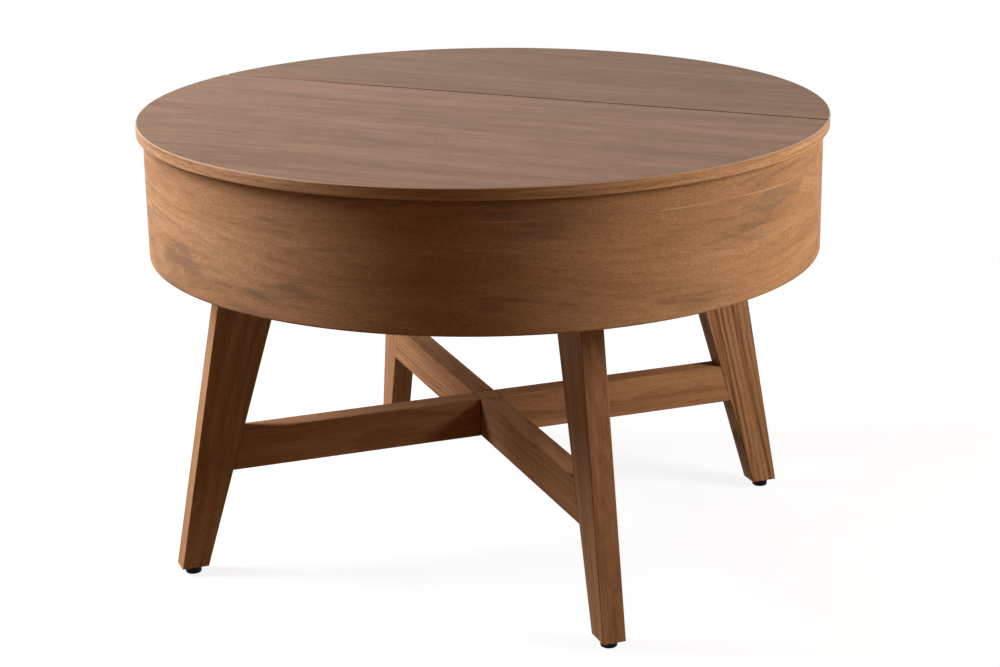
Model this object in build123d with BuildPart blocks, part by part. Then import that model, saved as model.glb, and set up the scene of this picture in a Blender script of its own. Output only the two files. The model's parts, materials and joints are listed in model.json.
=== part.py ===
from build123d import *
import os
from math import cos, degrees, atan2, hypot, radians, sin, sqrt

# Round lift top coffee table: a walnut drum on four splayed board legs that are tied by two
# half-lapped stretchers.  The larger front panel of the round top rides on a pair of
# parallelogram lift hinges, and the smaller rear panel is fixed.
#
# Frame: the origin is on the floor under the middle of the table, +Z is up, the sitter is
# at -Y, and the fixed rear panel is at +Y.  All sizes are millimetres and degrees.
# "Side view" points are (y, z) pairs in the plane that the lift arms swing in.

# ---- Round top
TABLE_HEIGHT = 497.0
TOP_DIAMETER = 760.0
TOP_THICKNESS = 13.0
TOP_EDGE_EASE = 2.0
UNDER_EDGE_EASE = 1.0
SEAM_SETBACK = 72.0  # from the table's middle back to the middle of the seam
SEAM_GAP = 2.0
SEAM_CORNER_RADIUS = 3.0

# ---- Drum case
TOP_OVERHANG = 7.0
RIM_GAP = 1.0  # shadow gap between the drum's rim and the top
DRUM_HEIGHT = 136.0
DRUM_WALL = 12.0
DRUM_BOTTOM_EASE = 2.5
DRUM_RIM_EASE = 1.0
FLOOR_THICKNESS = 12.0
FLOOR_RECESS = 4.0
FLOOR_RABBET = 4.0
PARTITION_THICKNESS = 15.0
SIDE_CAVITY = 118.0  # from a partition's outer face to the drum's inner wall, on the X axis
PARTITION_TOP_GAP = 7.0  # under the lift panel
RAIL_THICKNESS = 18.0
RAIL_HEIGHT = 60.0
RAIL_SETBACK = 2.0  # behind the fixed panel's front edge
DOWEL_DIAMETER = 8.0
DOWEL_LENGTH = 30.0
DOWEL_IN_PARTITION = 9.0
DOWEL_EDGE_DISTANCE = 15.0
CLEAT_SECTION = 20.0
CLEAT_LENGTH = 110.0
CLEAT_TO_RAIL = 22.0

# ---- Legs and stretchers
LEG_THICKNESS = 26.0
LEG_TOP_WIDTH = 71.5
LEG_FOOT_WIDTH = 30.0
LEG_TOP_INSET = 68.0  # from the drum's outer face in to the leg's outer edge
LEG_FOOT_INSET = 12.5  # from the top's edge in to the leg's outer edge at the foot
BOARD_EASE = 1.2
STRETCHER_DEPTH = 44.5
STRETCHER_CLEARANCE_HEIGHT = 118.0
TENON_THICKNESS = 10.0
TENON_HEIGHT = 30.0
TENON_LENGTH = 32.0
TENON_PIN_DIAMETER = 2.6
TENON_PIN_LENGTH = 18.0
TENON_PIN_SETBACK = 23.0  # from the leg's inner edge
TENON_PIN_DROP = 4.5  # under the stretcher's middle
LAP_CLEARANCE = 0.3
GLIDE_DIAMETER = 18.0
GLIDE_HEIGHT = 9.0
GLIDE_EASE = 2.0
GLIDE_STEM_DIAMETER = 5.0
GLIDE_STEM_LENGTH = 18.0

# ---- Leg fixings
BOLT_DIAMETER = 6.0
BOLT_HEAD_DIAMETER = 12.0
BOLT_HEAD_HEIGHT = 3.5
BOLT_ENGAGEMENT = 16.0
BOLT_SPACING = 36.0
BOLT_EDGE_DISTANCE = 16.0
BOLT_WASHER_DIAMETER = 18.0
BOLT_WASHER_THICKNESS = 1.5
INSERT_DIAMETER = 10.0
INSERT_LENGTH = 18.0

# ---- Screws
SCREW_DIAMETER = 4.0
SCREW_HEAD_DIAMETER = 8.0
SCREW_HEAD_HEIGHT = 2.2
CASE_SCREW_LENGTH = 35.0
CASE_SCREW_SPACING = 180.0
TOP_SCREW_LENGTH = 28.0
TOP_SCREW_SPACING = 60.0
SIDE_SCREW_LENGTH = 14.0
BRACKET_SCREW_LENGTH = 11.0
BRACKET_SCREW_SPACING = 36.0

# ---- Lift hinges (side view, angles from +Y towards +Z)
ARM_CLOSED_ANGLE = 8.0
LIFT_TRAVEL = 110.0
PIVOT_SPACING = 60.0
PIVOT_LINE_ANGLE = 153.0  # from a rear pivot to its front pivot
FRONT_PIVOT_SETBACK = 62.0  # from the drum's inner wall back to the front lower pivot
UPPER_PIVOT_SETBACK = 16.0  # from the lift panel's seam edge forward to the rear upper pivot
UPPER_PIVOT_DROP = 45.0
ARM_WIDTH = 18.0
ARM_EYE_DIAMETER = 24.0
ARM_THICKNESS = 3.0
BRACKET_THICKNESS = 2.5
BRACKET_MARGIN = 14.0
SIDE_SCREW_OFFSET = 28.0  # from the pivot or pin that a side bracket screw stands by
SIDE_SCREW_BEARINGS = {"rear_pivot": -60.0, "front_pivot": -90.0, "anchor": 165.0}
MIDDLE_SCREW_OFFSET = 75.0  # from the rear lower pivot back along the bracket
MIDDLE_SCREW_BEARING = -2.0
WASHER_DIAMETER = 16.0
WASHER_THICKNESS = 1.0
PIVOT_DIAMETER = 8.0
PIVOT_HEAD_DIAMETER = 14.0
PIVOT_HEAD_HEIGHT = 2.0
BRACKET_NECK_DIAMETER = 6.0
TOP_FLANGE_WIDTH = 30.0
TOP_FLANGE_LENGTH = 98.0
BRACKET_BEND_RADIUS = 2.2
CROSS_BAR_DIAMETER = 16.0
CROSS_BAR_WALL = 1.5
CROSS_BAR_REACH = 42.0  # from the rear lower pivot along the arm
LIGHTENING_SLOT_WIDTH = 16.0
LIGHTENING_SLOT_LENGTH = 60.0

# ---- Open stop
STOP_REACH = 30.0
STOP_STUD_DIAMETER = 5.0
STOP_SLEEVE_DIAMETER = 10.0
STOP_SLEEVE_LENGTH = 4.4
STOP_MARGIN = 5.0  # of the side bracket round the sleeve
STOP_CLEARANCE = 0.3

# ---- Assist springs
SPRING_DIAMETER = 14.0
SPRING_WIRE = 2.2
SPRING_SIDE_GAP = 1.5
SPRING_LUG_RADIUS = 32.0
SPRING_LUG_LAG = 130.0  # the lug trails the rear arm by this angle
SPRING_LUG_EYE = 16.0
SPRING_ANCHOR_RUN = 150.0
SPRING_ANCHOR_DROP = 22.0
SPRING_HOOK_LENGTH = 16.0
SPRING_PIN_DIAMETER = 6.0
SPRING_PIN_HEAD_DIAMETER = 9.0
SPRING_PIN_HEAD_HEIGHT = 1.5

# ---- Rim bumpers
BUMPER_DIAMETER = 8.0
BUMPER_HEIGHT = 2.5
BUMPER_EASE = 0.6
BUMPER_ANGLES = (200.0, 245.0, 295.0, 340.0)

# ---- Clearances
FIT_CLEARANCE = 0.05  # each side of a shank, stem or pin in its hole
JOINERY_CLEARANCE = 0.15  # each side of a tenon or a panel in its recess
PIVOT_CLEARANCE = 0.05  # radial, at the lower pivots and the rear upper pivots
OPEN_PIVOT_CLEARANCE = 0.10  # radial, at the front upper pivots
AXIAL_CLEARANCE = 0.05
SEAT_CLEARANCE = 0.3  # under the closed lift panel

ALONG_X = (0, 90, 0)
AGAINST_Y = (90, 0, 0)
FROM_BASE = (Align.CENTER, Align.CENTER, Align.MIN)
LEG_AZIMUTHS = {"front_left": 225, "front_right": 315, "rear_right": 45, "rear_left": 135}
FIRST_LEG_AZIMUTH = 45

# ---- Levels and radii that follow from the sizes above
top_radius = TOP_DIAMETER / 2
panel_under_z = TABLE_HEIGHT - TOP_THICKNESS
rim_z = panel_under_z - RIM_GAP
drum_bottom_z = rim_z - DRUM_HEIGHT
floor_under_z = drum_bottom_z + FLOOR_RECESS
floor_top_z = floor_under_z + FLOOR_THICKNESS
drum_radius = top_radius - TOP_OVERHANG
drum_inner_radius = drum_radius - DRUM_WALL
lift_edge_y = SEAM_SETBACK - SEAM_GAP / 2
fixed_edge_y = SEAM_SETBACK + SEAM_GAP / 2
rail_front_y = fixed_edge_y + RAIL_SETBACK
rail_rear_y = rail_front_y + RAIL_THICKNESS
partition_outer_x = drum_inner_radius - SIDE_CAVITY
partition_inner_x = partition_outer_x - PARTITION_THICKNESS
cleat_under_z = panel_under_z - CLEAT_SECTION
leg_top_outer = drum_radius - LEG_TOP_INSET
leg_foot_outer = top_radius - LEG_FOOT_INSET
stretcher_top_z = STRETCHER_CLEARANCE_HEIGHT + STRETCHER_DEPTH
stretcher_mid_z = STRETCHER_CLEARANCE_HEIGHT + STRETCHER_DEPTH / 2


def leg_inner_radius(z):
    """Distance of a leg's inner edge from the table's axis at a height."""
    rise = (z - GLIDE_HEIGHT) / (floor_under_z - GLIDE_HEIGHT)
    foot = leg_foot_outer - LEG_FOOT_WIDTH
    return foot + rise * (leg_top_outer - LEG_TOP_WIDTH - foot)


def along(origin, length, angle):
    """Side view point at a length and an angle from another."""
    return (origin[0] + length * cos(radians(angle)), origin[1] + length * sin(radians(angle)))


def at_x(x, points):
    """Side view points as places in space at one x."""
    return [(x, y, z) for y, z in points]


# ---- Lift hinge geometry in the side view, with the top closed
front_reach = sqrt(drum_inner_radius**2 - partition_inner_x**2)
upper_rear = (lift_edge_y - UPPER_PIVOT_SETBACK, panel_under_z - UPPER_PIVOT_DROP)
lower_front_y = FRONT_PIVOT_SETBACK - front_reach
lower_rear_y = lower_front_y - PIVOT_SPACING * cos(radians(PIVOT_LINE_ANGLE))
arm_length = (upper_rear[0] - lower_rear_y) / cos(radians(ARM_CLOSED_ANGLE))
lower_rear = along(upper_rear, -arm_length, ARM_CLOSED_ANGLE)
lower_front = along(lower_rear, PIVOT_SPACING, PIVOT_LINE_ANGLE)
upper_front = along(upper_rear, PIVOT_SPACING, PIVOT_LINE_ANGLE)
open_angle = ARM_CLOSED_ANGLE + LIFT_TRAVEL
stop_offset = ARM_WIDTH / 2 + STOP_SLEEVE_DIAMETER / 2 + STOP_CLEARANCE
stop_centre = along(along(lower_front, STOP_REACH, open_angle), stop_offset, open_angle + 90)
spring_lug = along(lower_rear, SPRING_LUG_RADIUS, ARM_CLOSED_ANGLE - SPRING_LUG_LAG)
spring_anchor = (lower_rear[0] + SPRING_ANCHOR_RUN, lower_rear[1] - SPRING_ANCHOR_DROP)
cross_bar_centre = along(lower_rear, CROSS_BAR_REACH, ARM_CLOSED_ANGLE)

# ---- The right hinge's layers, from the partition inwards
bracket_face_x = partition_inner_x - BRACKET_THICKNESS
arm_outer_x = bracket_face_x - WASHER_THICKNESS - AXIAL_CLEARANCE
arm_inner_x = arm_outer_x - ARM_THICKNESS
lower_head_x = arm_inner_x - AXIAL_CLEARANCE - PIVOT_HEAD_HEIGHT
top_bracket_outer_x = arm_inner_x - AXIAL_CLEARANCE - WASHER_THICKNESS
top_bracket_inner_x = top_bracket_outer_x - BRACKET_THICKNESS
spring_x = arm_inner_x - SPRING_SIDE_GAP - SPRING_DIAMETER / 2
spring_pin_end_x = spring_x - SPRING_DIAMETER / 2 - SPRING_PIN_HEAD_HEIGHT

# ---- Screw and bolt places
bolt_radii = (leg_top_outer - BOLT_EDGE_DISTANCE, leg_top_outer - BOLT_EDGE_DISTANCE - BOLT_SPACING)
partition_mid_x = partition_inner_x + PARTITION_THICKNESS / 2
case_screw_places = [
    (side * partition_mid_x, row * CASE_SCREW_SPACING, floor_under_z)
    for side in (-1, 1)
    for row in (-1, 0, 1)
]
cleat_mid_y = rail_rear_y + CLEAT_TO_RAIL + CLEAT_LENGTH / 2
cleat_mid_x = partition_inner_x - CLEAT_SECTION / 2
rail_cleat_y = rail_rear_y + CLEAT_SECTION / 2
top_screw_places = [
    (side * cleat_mid_x, cleat_mid_y + end * TOP_SCREW_SPACING / 2, cleat_under_z)
    for side in (-1, 1)
    for end in (-1, 1)
] + [(end * TOP_SCREW_SPACING / 2, rail_cleat_y, cleat_under_z) for end in (-1, 1)]
flange_mid_x = top_bracket_inner_x - (TOP_FLANGE_WIDTH - BRACKET_THICKNESS) / 2
flange_under_z = panel_under_z - BRACKET_THICKNESS
flange_mid_y = (upper_rear[0] + upper_front[0]) / 2 - UPPER_PIVOT_SETBACK / 2
bracket_screw_places = [
    (side * flange_mid_x, flange_mid_y + row * BRACKET_SCREW_SPACING, flange_under_z)
    for side in (-1, 1)
    for row in (-1, 0, 1)
]
side_screw_points = [
    along(lower_rear, SIDE_SCREW_OFFSET, SIDE_SCREW_BEARINGS["rear_pivot"]),
    along(lower_front, SIDE_SCREW_OFFSET, SIDE_SCREW_BEARINGS["front_pivot"]),
    along(spring_anchor, SIDE_SCREW_OFFSET, SIDE_SCREW_BEARINGS["anchor"]),
    along(lower_rear, MIDDLE_SCREW_OFFSET, MIDDLE_SCREW_BEARING),
]

pieces = {}


def finish(name, part):
    """Label a finished piece and keep it for export."""
    part.label = name
    pieces[name] = part


# ---- Round top: two panels that meet at a straight seam behind the middle
for name, edge_y, apex_y in (
    ("lift_top_panel", lift_edge_y, -top_radius),
    ("fixed_top_panel", fixed_edge_y, top_radius),
):
    half_chord = sqrt(top_radius**2 - edge_y**2)
    with BuildPart() as panel:
        with BuildSketch(Plane.XY.offset(panel_under_z)):
            with BuildLine():
                Line((-half_chord, edge_y), (half_chord, edge_y))
                ThreePointArc((half_chord, edge_y), (0, apex_y), (-half_chord, edge_y))
            make_face()
        extrude(amount=TOP_THICKNESS)
        fillet(panel.edges().filter_by(Axis.Z), SEAM_CORNER_RADIUS)
        fillet(panel.faces().sort_by(Axis.Z)[-1].edges(), TOP_EDGE_EASE)
        fillet(panel.faces().sort_by(Axis.Z)[0].edges(), UNDER_EDGE_EASE)
        if name == "lift_top_panel":
            pilots, pilot_depth = bracket_screw_places, BRACKET_SCREW_LENGTH - BRACKET_THICKNESS
        else:
            pilots, pilot_depth = top_screw_places, TOP_SCREW_LENGTH - CLEAT_SECTION
        with Locations(*[(x, y, panel_under_z) for x, y, z in pilots]):
            Cylinder(
                SCREW_DIAMETER / 2 + FIT_CLEARANCE,
                pilot_depth + FIT_CLEARANCE,
                align=FROM_BASE,
                mode=Mode.SUBTRACT,
            )
    finish(name, panel.part)

# ---- Drum wall: a bent ply ring with a rabbet for the floor and recesses for the bumpers
bumper_seat_z = panel_under_z - SEAT_CLEARANCE - BUMPER_HEIGHT
bumper_places = [
    (
        (drum_radius - DRUM_WALL / 2) * cos(radians(angle)),
        (drum_radius - DRUM_WALL / 2) * sin(radians(angle)),
        bumper_seat_z,
    )
    for angle in BUMPER_ANGLES
]
with BuildPart() as drum_wall:
    with BuildSketch(Plane.XZ) as wall_section:
        with BuildLine():
            Polyline(
                (drum_radius, drum_bottom_z),
                (drum_radius, rim_z),
                (drum_inner_radius, rim_z),
                (drum_inner_radius, floor_top_z),
                (drum_inner_radius + FLOOR_RABBET, floor_top_z),
                (drum_inner_radius + FLOOR_RABBET, drum_bottom_z),
                close=True,
            )
        make_face()
        fillet(wall_section.vertices().group_by(Axis.Y)[-1], DRUM_RIM_EASE)
        fillet(wall_section.vertices().group_by(Axis.Y)[0].sort_by(Axis.X)[-1], DRUM_BOTTOM_EASE)
    revolve(axis=Axis.Z)
    with Locations(*bumper_places):
        Cylinder(BUMPER_DIAMETER / 2 + FIT_CLEARANCE, BUMPER_HEIGHT, align=FROM_BASE, mode=Mode.SUBTRACT)
finish("drum_wall", drum_wall.part)

with BuildPart() as bumper:
    Cylinder(BUMPER_DIAMETER / 2, BUMPER_HEIGHT, align=FROM_BASE)
    chamfer(bumper.faces().sort_by(Axis.Z)[-1].edges(), BUMPER_EASE)
with BuildPart() as rim_bumpers:
    with Locations(*bumper_places):
        add(bumper.part)
finish("rim_bumpers", rim_bumpers.part)

# ---- Drum floor: a disc that seats in the wall's rabbet and carries the legs' bolts
with BuildPart() as drum_floor:
    with BuildSketch(Plane.XY.offset(floor_under_z)):
        Circle(drum_inner_radius + FLOOR_RABBET - JOINERY_CLEARANCE)
        for radius in bolt_radii:
            with PolarLocations(radius, len(LEG_AZIMUTHS), start_angle=FIRST_LEG_AZIMUTH):
                Circle(BOLT_DIAMETER / 2 + FIT_CLEARANCE, mode=Mode.SUBTRACT)
    extrude(amount=FLOOR_THICKNESS)
    with Locations(*case_screw_places):
        Cone(
            SCREW_HEAD_DIAMETER / 2 + FIT_CLEARANCE,
            SCREW_DIAMETER / 2 + FIT_CLEARANCE,
            SCREW_HEAD_HEIGHT,
            align=FROM_BASE,
            mode=Mode.SUBTRACT,
        )
        Cylinder(SCREW_DIAMETER / 2 + FIT_CLEARANCE, FLOOR_THICKNESS, align=FROM_BASE, mode=Mode.SUBTRACT)
finish("drum_floor", drum_floor.part)

# ---- Partitions: side boards that carry the hinges, stepped up behind the seam to the fixed panel
partition_half_length = sqrt(drum_inner_radius**2 - partition_outer_x**2) - JOINERY_CLEARANCE
rail_mid_z = panel_under_z - RAIL_HEIGHT / 2
dowel_y = rail_front_y + RAIL_THICKNESS / 2
dowel_points = [
    (dowel_y, rail_mid_z - RAIL_HEIGHT / 2 + DOWEL_EDGE_DISTANCE),
    (dowel_y, rail_mid_z + RAIL_HEIGHT / 2 - DOWEL_EDGE_DISTANCE),
]
dowel_start_x = partition_inner_x - DOWEL_LENGTH + DOWEL_IN_PARTITION
with BuildPart() as right_partition:
    with BuildSketch(Plane.YZ.offset(partition_inner_x)):
        with BuildLine():
            Polyline(
                (-partition_half_length, floor_top_z),
                (partition_half_length, floor_top_z),
                (partition_half_length, panel_under_z),
                (rail_front_y, panel_under_z),
                (rail_front_y, panel_under_z - PARTITION_TOP_GAP),
                (-partition_half_length, panel_under_z - PARTITION_TOP_GAP),
                close=True,
            )
        make_face()
    extrude(amount=PARTITION_THICKNESS)
    with Locations(*at_x(partition_inner_x, side_screw_points)):
        Cylinder(
            SCREW_DIAMETER / 2 + FIT_CLEARANCE,
            SIDE_SCREW_LENGTH - BRACKET_THICKNESS + FIT_CLEARANCE,
            rotation=ALONG_X,
            align=FROM_BASE,
            mode=Mode.SUBTRACT,
        )
    with Locations(*at_x(dowel_start_x, dowel_points)):
        Cylinder(
            DOWEL_DIAMETER / 2 + FIT_CLEARANCE,
            DOWEL_LENGTH + JOINERY_CLEARANCE,
            rotation=ALONG_X,
            align=FROM_BASE,
            mode=Mode.SUBTRACT,
        )
    with Locations(*[(x, y, floor_top_z) for x, y, z in case_screw_places if x > 0]):
        Cylinder(
            SCREW_DIAMETER / 2 + FIT_CLEARANCE,
            CASE_SCREW_LENGTH - FLOOR_THICKNESS + FIT_CLEARANCE,
            align=FROM_BASE,
            mode=Mode.SUBTRACT,
        )
with BuildPart() as left_partition:
    mirror(right_partition.part, about=Plane.YZ)
finish("right_partition", right_partition.part)
finish("left_partition", left_partition.part)

# ---- Seam rail: spans the partitions under the fixed panel's front edge, on dowels
with BuildPart() as seam_rail:
    with Locations((0, dowel_y, rail_mid_z)):
        Box(2 * partition_inner_x, RAIL_THICKNESS, RAIL_HEIGHT)
    for side in (-1, 1):
        with Locations(*[(side * partition_inner_x, y, z) for y, z in dowel_points]):
            Cylinder(
                DOWEL_DIAMETER / 2 + FIT_CLEARANCE,
                2 * (DOWEL_LENGTH - DOWEL_IN_PARTITION + JOINERY_CLEARANCE),
                rotation=ALONG_X,
                mode=Mode.SUBTRACT,
            )
finish("seam_rail", seam_rail.part)

with BuildPart() as rail_dowels:
    with Locations(*at_x(dowel_start_x, dowel_points)):
        Cylinder(DOWEL_DIAMETER / 2, DOWEL_LENGTH, rotation=ALONG_X, align=FROM_BASE)
    mirror(about=Plane.YZ)
finish("rail_dowels", rail_dowels.part)

# ---- Cleats: glued blocks that the fixed panel is screwed down through
with BuildPart() as top_cleats:
    with Locations(*[(side * cleat_mid_x, cleat_mid_y, cleat_under_z) for side in (-1, 1)]):
        Box(CLEAT_SECTION, CLEAT_LENGTH, CLEAT_SECTION, align=FROM_BASE)
    with Locations((0, rail_cleat_y, cleat_under_z)):
        Box(CLEAT_LENGTH, CLEAT_SECTION, CLEAT_SECTION, align=FROM_BASE)
    with Locations(*top_screw_places):
        Cone(
            SCREW_HEAD_DIAMETER / 2 + FIT_CLEARANCE,
            SCREW_DIAMETER / 2 + FIT_CLEARANCE,
            SCREW_HEAD_HEIGHT,
            align=FROM_BASE,
            mode=Mode.SUBTRACT,
        )
        Cylinder(SCREW_DIAMETER / 2 + FIT_CLEARANCE, CLEAT_SECTION, align=FROM_BASE, mode=Mode.SUBTRACT)
finish("top_cleats", top_cleats.part)

for name, places, length in (
    ("top_cleat_screws", top_screw_places, TOP_SCREW_LENGTH),
    ("case_screws", case_screw_places, CASE_SCREW_LENGTH),
):
    with BuildPart() as wood_screws:
        with Locations(*places):
            Cone(SCREW_HEAD_DIAMETER / 2, SCREW_DIAMETER / 2, SCREW_HEAD_HEIGHT, align=FROM_BASE)
            Cylinder(SCREW_DIAMETER / 2, length, align=FROM_BASE)
    finish(name, wood_screws.part)

# ---- Legs: tapered boards in radial planes, mortised for the stretchers
leg_mid_inner = leg_inner_radius(stretcher_mid_z)
glide_radius = leg_foot_outer - LEG_FOOT_WIDTH / 2
pin_place = (
    leg_mid_inner + TENON_PIN_SETBACK,
    LEG_THICKNESS / 2,
    stretcher_mid_z - TENON_PIN_DROP,
)
insert_bottom_z = floor_under_z - INSERT_LENGTH
with BuildPart() as leg:
    with BuildSketch(Plane.XZ):
        with BuildLine():
            Polyline(
                (leg_foot_outer, GLIDE_HEIGHT),
                (leg_top_outer, floor_under_z),
                (leg_top_outer - LEG_TOP_WIDTH, floor_under_z),
                (leg_foot_outer - LEG_FOOT_WIDTH, GLIDE_HEIGHT),
                close=True,
            )
        make_face()
    extrude(amount=LEG_THICKNESS / 2, both=True)
    end_edges = leg.edges().group_by(Axis.Z)[-1]
    fillet(leg.edges().filter_by(Axis.Y, reverse=True) - end_edges, BOARD_EASE)
    with BuildSketch(Plane.XZ):
        with Locations((leg_mid_inner, stretcher_mid_z)):
            Rectangle(
                2 * (TENON_LENGTH + JOINERY_CLEARANCE),
                TENON_HEIGHT + 2 * JOINERY_CLEARANCE,
            )
    extrude(amount=TENON_THICKNESS / 2 + JOINERY_CLEARANCE, both=True, mode=Mode.SUBTRACT)
    with Locations(pin_place):
        Cylinder(
            TENON_PIN_DIAMETER / 2 + FIT_CLEARANCE,
            2 * TENON_PIN_LENGTH,
            rotation=AGAINST_Y,
            mode=Mode.SUBTRACT,
        )
    with Locations((glide_radius, 0, GLIDE_HEIGHT)):
        Cylinder(
            GLIDE_STEM_DIAMETER / 2 + FIT_CLEARANCE,
            GLIDE_STEM_LENGTH + FIT_CLEARANCE,
            align=FROM_BASE,
            mode=Mode.SUBTRACT,
        )
    with Locations(*[(radius, 0, insert_bottom_z) for radius in bolt_radii]):
        Cylinder(
            INSERT_DIAMETER / 2 + FIT_CLEARANCE, INSERT_LENGTH, align=FROM_BASE, mode=Mode.SUBTRACT
        )
for corner, azimuth in LEG_AZIMUTHS.items():
    with BuildPart() as placed_leg:
        with Locations(Rotation(0, 0, azimuth)):
            add(leg.part)
    finish(f"leg_{corner}", placed_leg.part)

# ---- Stretchers: one crosses above and one below at a half lap, with a tenon at each end
shoulder_low = leg_inner_radius(STRETCHER_CLEARANCE_HEIGHT)
shoulder_high = leg_inner_radius(stretcher_top_z)
tenon_reach = leg_mid_inner + TENON_LENGTH
for name, azimuth, notch_z in (
    ("stretcher_lapped_below", 225, STRETCHER_CLEARANCE_HEIGHT),
    ("stretcher_lapped_above", 315, stretcher_top_z),
):
    with BuildPart() as stretcher:
        with BuildSketch(Plane.XZ):
            with BuildLine():
                Polyline(
                    (-shoulder_low, STRETCHER_CLEARANCE_HEIGHT),
                    (shoulder_low, STRETCHER_CLEARANCE_HEIGHT),
                    (shoulder_high, stretcher_top_z),
                    (-shoulder_high, stretcher_top_z),
                    close=True,
                )
            make_face()
        extrude(amount=LEG_THICKNESS / 2, both=True)
        fillet(stretcher.edges().filter_by(Axis.X), BOARD_EASE)
        with Locations((0, 0, stretcher_mid_z)):
            Box(2 * tenon_reach, TENON_THICKNESS, TENON_HEIGHT)
        with Locations((0, 0, notch_z)):
            Box(
                LEG_THICKNESS + 2 * LAP_CLEARANCE,
                2 * LEG_THICKNESS,
                STRETCHER_DEPTH + LAP_CLEARANCE,
                mode=Mode.SUBTRACT,
            )
        with PolarLocations(0, 2):
            with Locations(pin_place):
                Cylinder(
                    TENON_PIN_DIAMETER / 2 + FIT_CLEARANCE,
                    2 * TENON_PIN_LENGTH,
                    rotation=AGAINST_Y,
                    mode=Mode.SUBTRACT,
                )
    with BuildPart() as placed_stretcher:
        with Locations(Rotation(0, 0, azimuth)):
            add(stretcher.part)
    finish(name, placed_stretcher.part)

# ---- Leg hardware, made once and repeated at each leg
with BuildPart() as tenon_pin:
    with Locations(pin_place):
        Cylinder(TENON_PIN_DIAMETER / 2, TENON_PIN_LENGTH, rotation=AGAINST_Y, align=FROM_BASE)

with BuildPart() as glide:
    with Locations((glide_radius, 0, 0)):
        Cylinder(GLIDE_DIAMETER / 2, GLIDE_HEIGHT, align=FROM_BASE)
        fillet(glide.faces().sort_by(Axis.Z)[0].edges(), GLIDE_EASE)
        Cylinder(GLIDE_STEM_DIAMETER / 2, GLIDE_HEIGHT + GLIDE_STEM_LENGTH, align=FROM_BASE)

washer_top_z = floor_top_z + BOLT_WASHER_THICKNESS
bolt_tip_z = floor_under_z - BOLT_ENGAGEMENT
with BuildPart() as leg_bolt_pair:
    with Locations(*[(radius, 0, bolt_tip_z) for radius in bolt_radii]):
        Cylinder(BOLT_DIAMETER / 2, washer_top_z - bolt_tip_z, align=FROM_BASE)
    with Locations(*[(radius, 0, washer_top_z) for radius in bolt_radii]):
        Cylinder(BOLT_HEAD_DIAMETER / 2, BOLT_HEAD_HEIGHT, align=FROM_BASE)

with BuildPart() as leg_washer_pair:
    with BuildSketch(Plane.XY.offset(floor_top_z)):
        with Locations(*[(radius, 0) for radius in bolt_radii]):
            Circle(BOLT_WASHER_DIAMETER / 2)
            Circle(BOLT_DIAMETER / 2 + FIT_CLEARANCE, mode=Mode.SUBTRACT)
    extrude(amount=BOLT_WASHER_THICKNESS)

with BuildPart() as leg_insert_pair:
    with BuildSketch(Plane.XY.offset(insert_bottom_z)):
        with Locations(*[(radius, 0) for radius in bolt_radii]):
            Circle(INSERT_DIAMETER / 2)
            Circle(BOLT_DIAMETER / 2 + FIT_CLEARANCE, mode=Mode.SUBTRACT)
    extrude(amount=INSERT_LENGTH)

for name, hardware in (
    ("tenon_pins", tenon_pin),
    ("foot_glides", glide),
    ("leg_bolts", leg_bolt_pair),
    ("leg_bolt_washers", leg_washer_pair),
    ("leg_inserts", leg_insert_pair),
):
    with BuildPart() as repeated:
        with PolarLocations(0, len(LEG_AZIMUTHS), start_angle=FIRST_LEG_AZIMUTH):
            add(hardware.part)
    finish(name, repeated.part)

# ---- Side brackets: tapered plates on the partitions that carry the fixed pivots
with BuildPart() as right_side_bracket:
    with BuildSketch(Plane.YZ.offset(bracket_face_x)):
        with Locations(lower_rear, lower_front, spring_anchor, *side_screw_points):
            Circle(BRACKET_MARGIN)
        with Locations(stop_centre):
            Circle(STOP_SLEEVE_DIAMETER / 2 + STOP_MARGIN)
        make_hull()
        slot_angle = degrees(
            atan2(spring_anchor[1] - lower_rear[1], spring_anchor[0] - lower_rear[0])
        )
        with Locations(along(lower_rear, LIGHTENING_SLOT_LENGTH, slot_angle)):
            SlotOverall(
                LIGHTENING_SLOT_LENGTH, LIGHTENING_SLOT_WIDTH, rotation=slot_angle, mode=Mode.SUBTRACT
            )
    extrude(amount=BRACKET_THICKNESS)
    with Locations(*at_x(bracket_face_x, [lower_rear, lower_front])):
        Cylinder(
            BRACKET_NECK_DIAMETER / 2 + FIT_CLEARANCE,
            BRACKET_THICKNESS,
            rotation=ALONG_X,
            align=FROM_BASE,
            mode=Mode.SUBTRACT,
        )
    with Locations(*at_x(bracket_face_x, [stop_centre])):
        Cylinder(
            STOP_STUD_DIAMETER / 2 + FIT_CLEARANCE,
            BRACKET_THICKNESS,
            rotation=ALONG_X,
            align=FROM_BASE,
            mode=Mode.SUBTRACT,
        )
    with Locations(*at_x(bracket_face_x, [spring_anchor])):
        Cylinder(
            SPRING_PIN_DIAMETER / 2 + FIT_CLEARANCE,
            BRACKET_THICKNESS,
            rotation=ALONG_X,
            align=FROM_BASE,
            mode=Mode.SUBTRACT,
        )
    with Locations(*at_x(bracket_face_x, side_screw_points)):
        Cone(
            SCREW_HEAD_DIAMETER / 2 + FIT_CLEARANCE,
            SCREW_DIAMETER / 2 + FIT_CLEARANCE,
            SCREW_HEAD_HEIGHT,
            rotation=ALONG_X,
            align=FROM_BASE,
            mode=Mode.SUBTRACT,
        )
        Cylinder(
            SCREW_DIAMETER / 2 + FIT_CLEARANCE,
            BRACKET_THICKNESS,
            rotation=ALONG_X,
            align=FROM_BASE,
            mode=Mode.SUBTRACT,
        )

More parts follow.
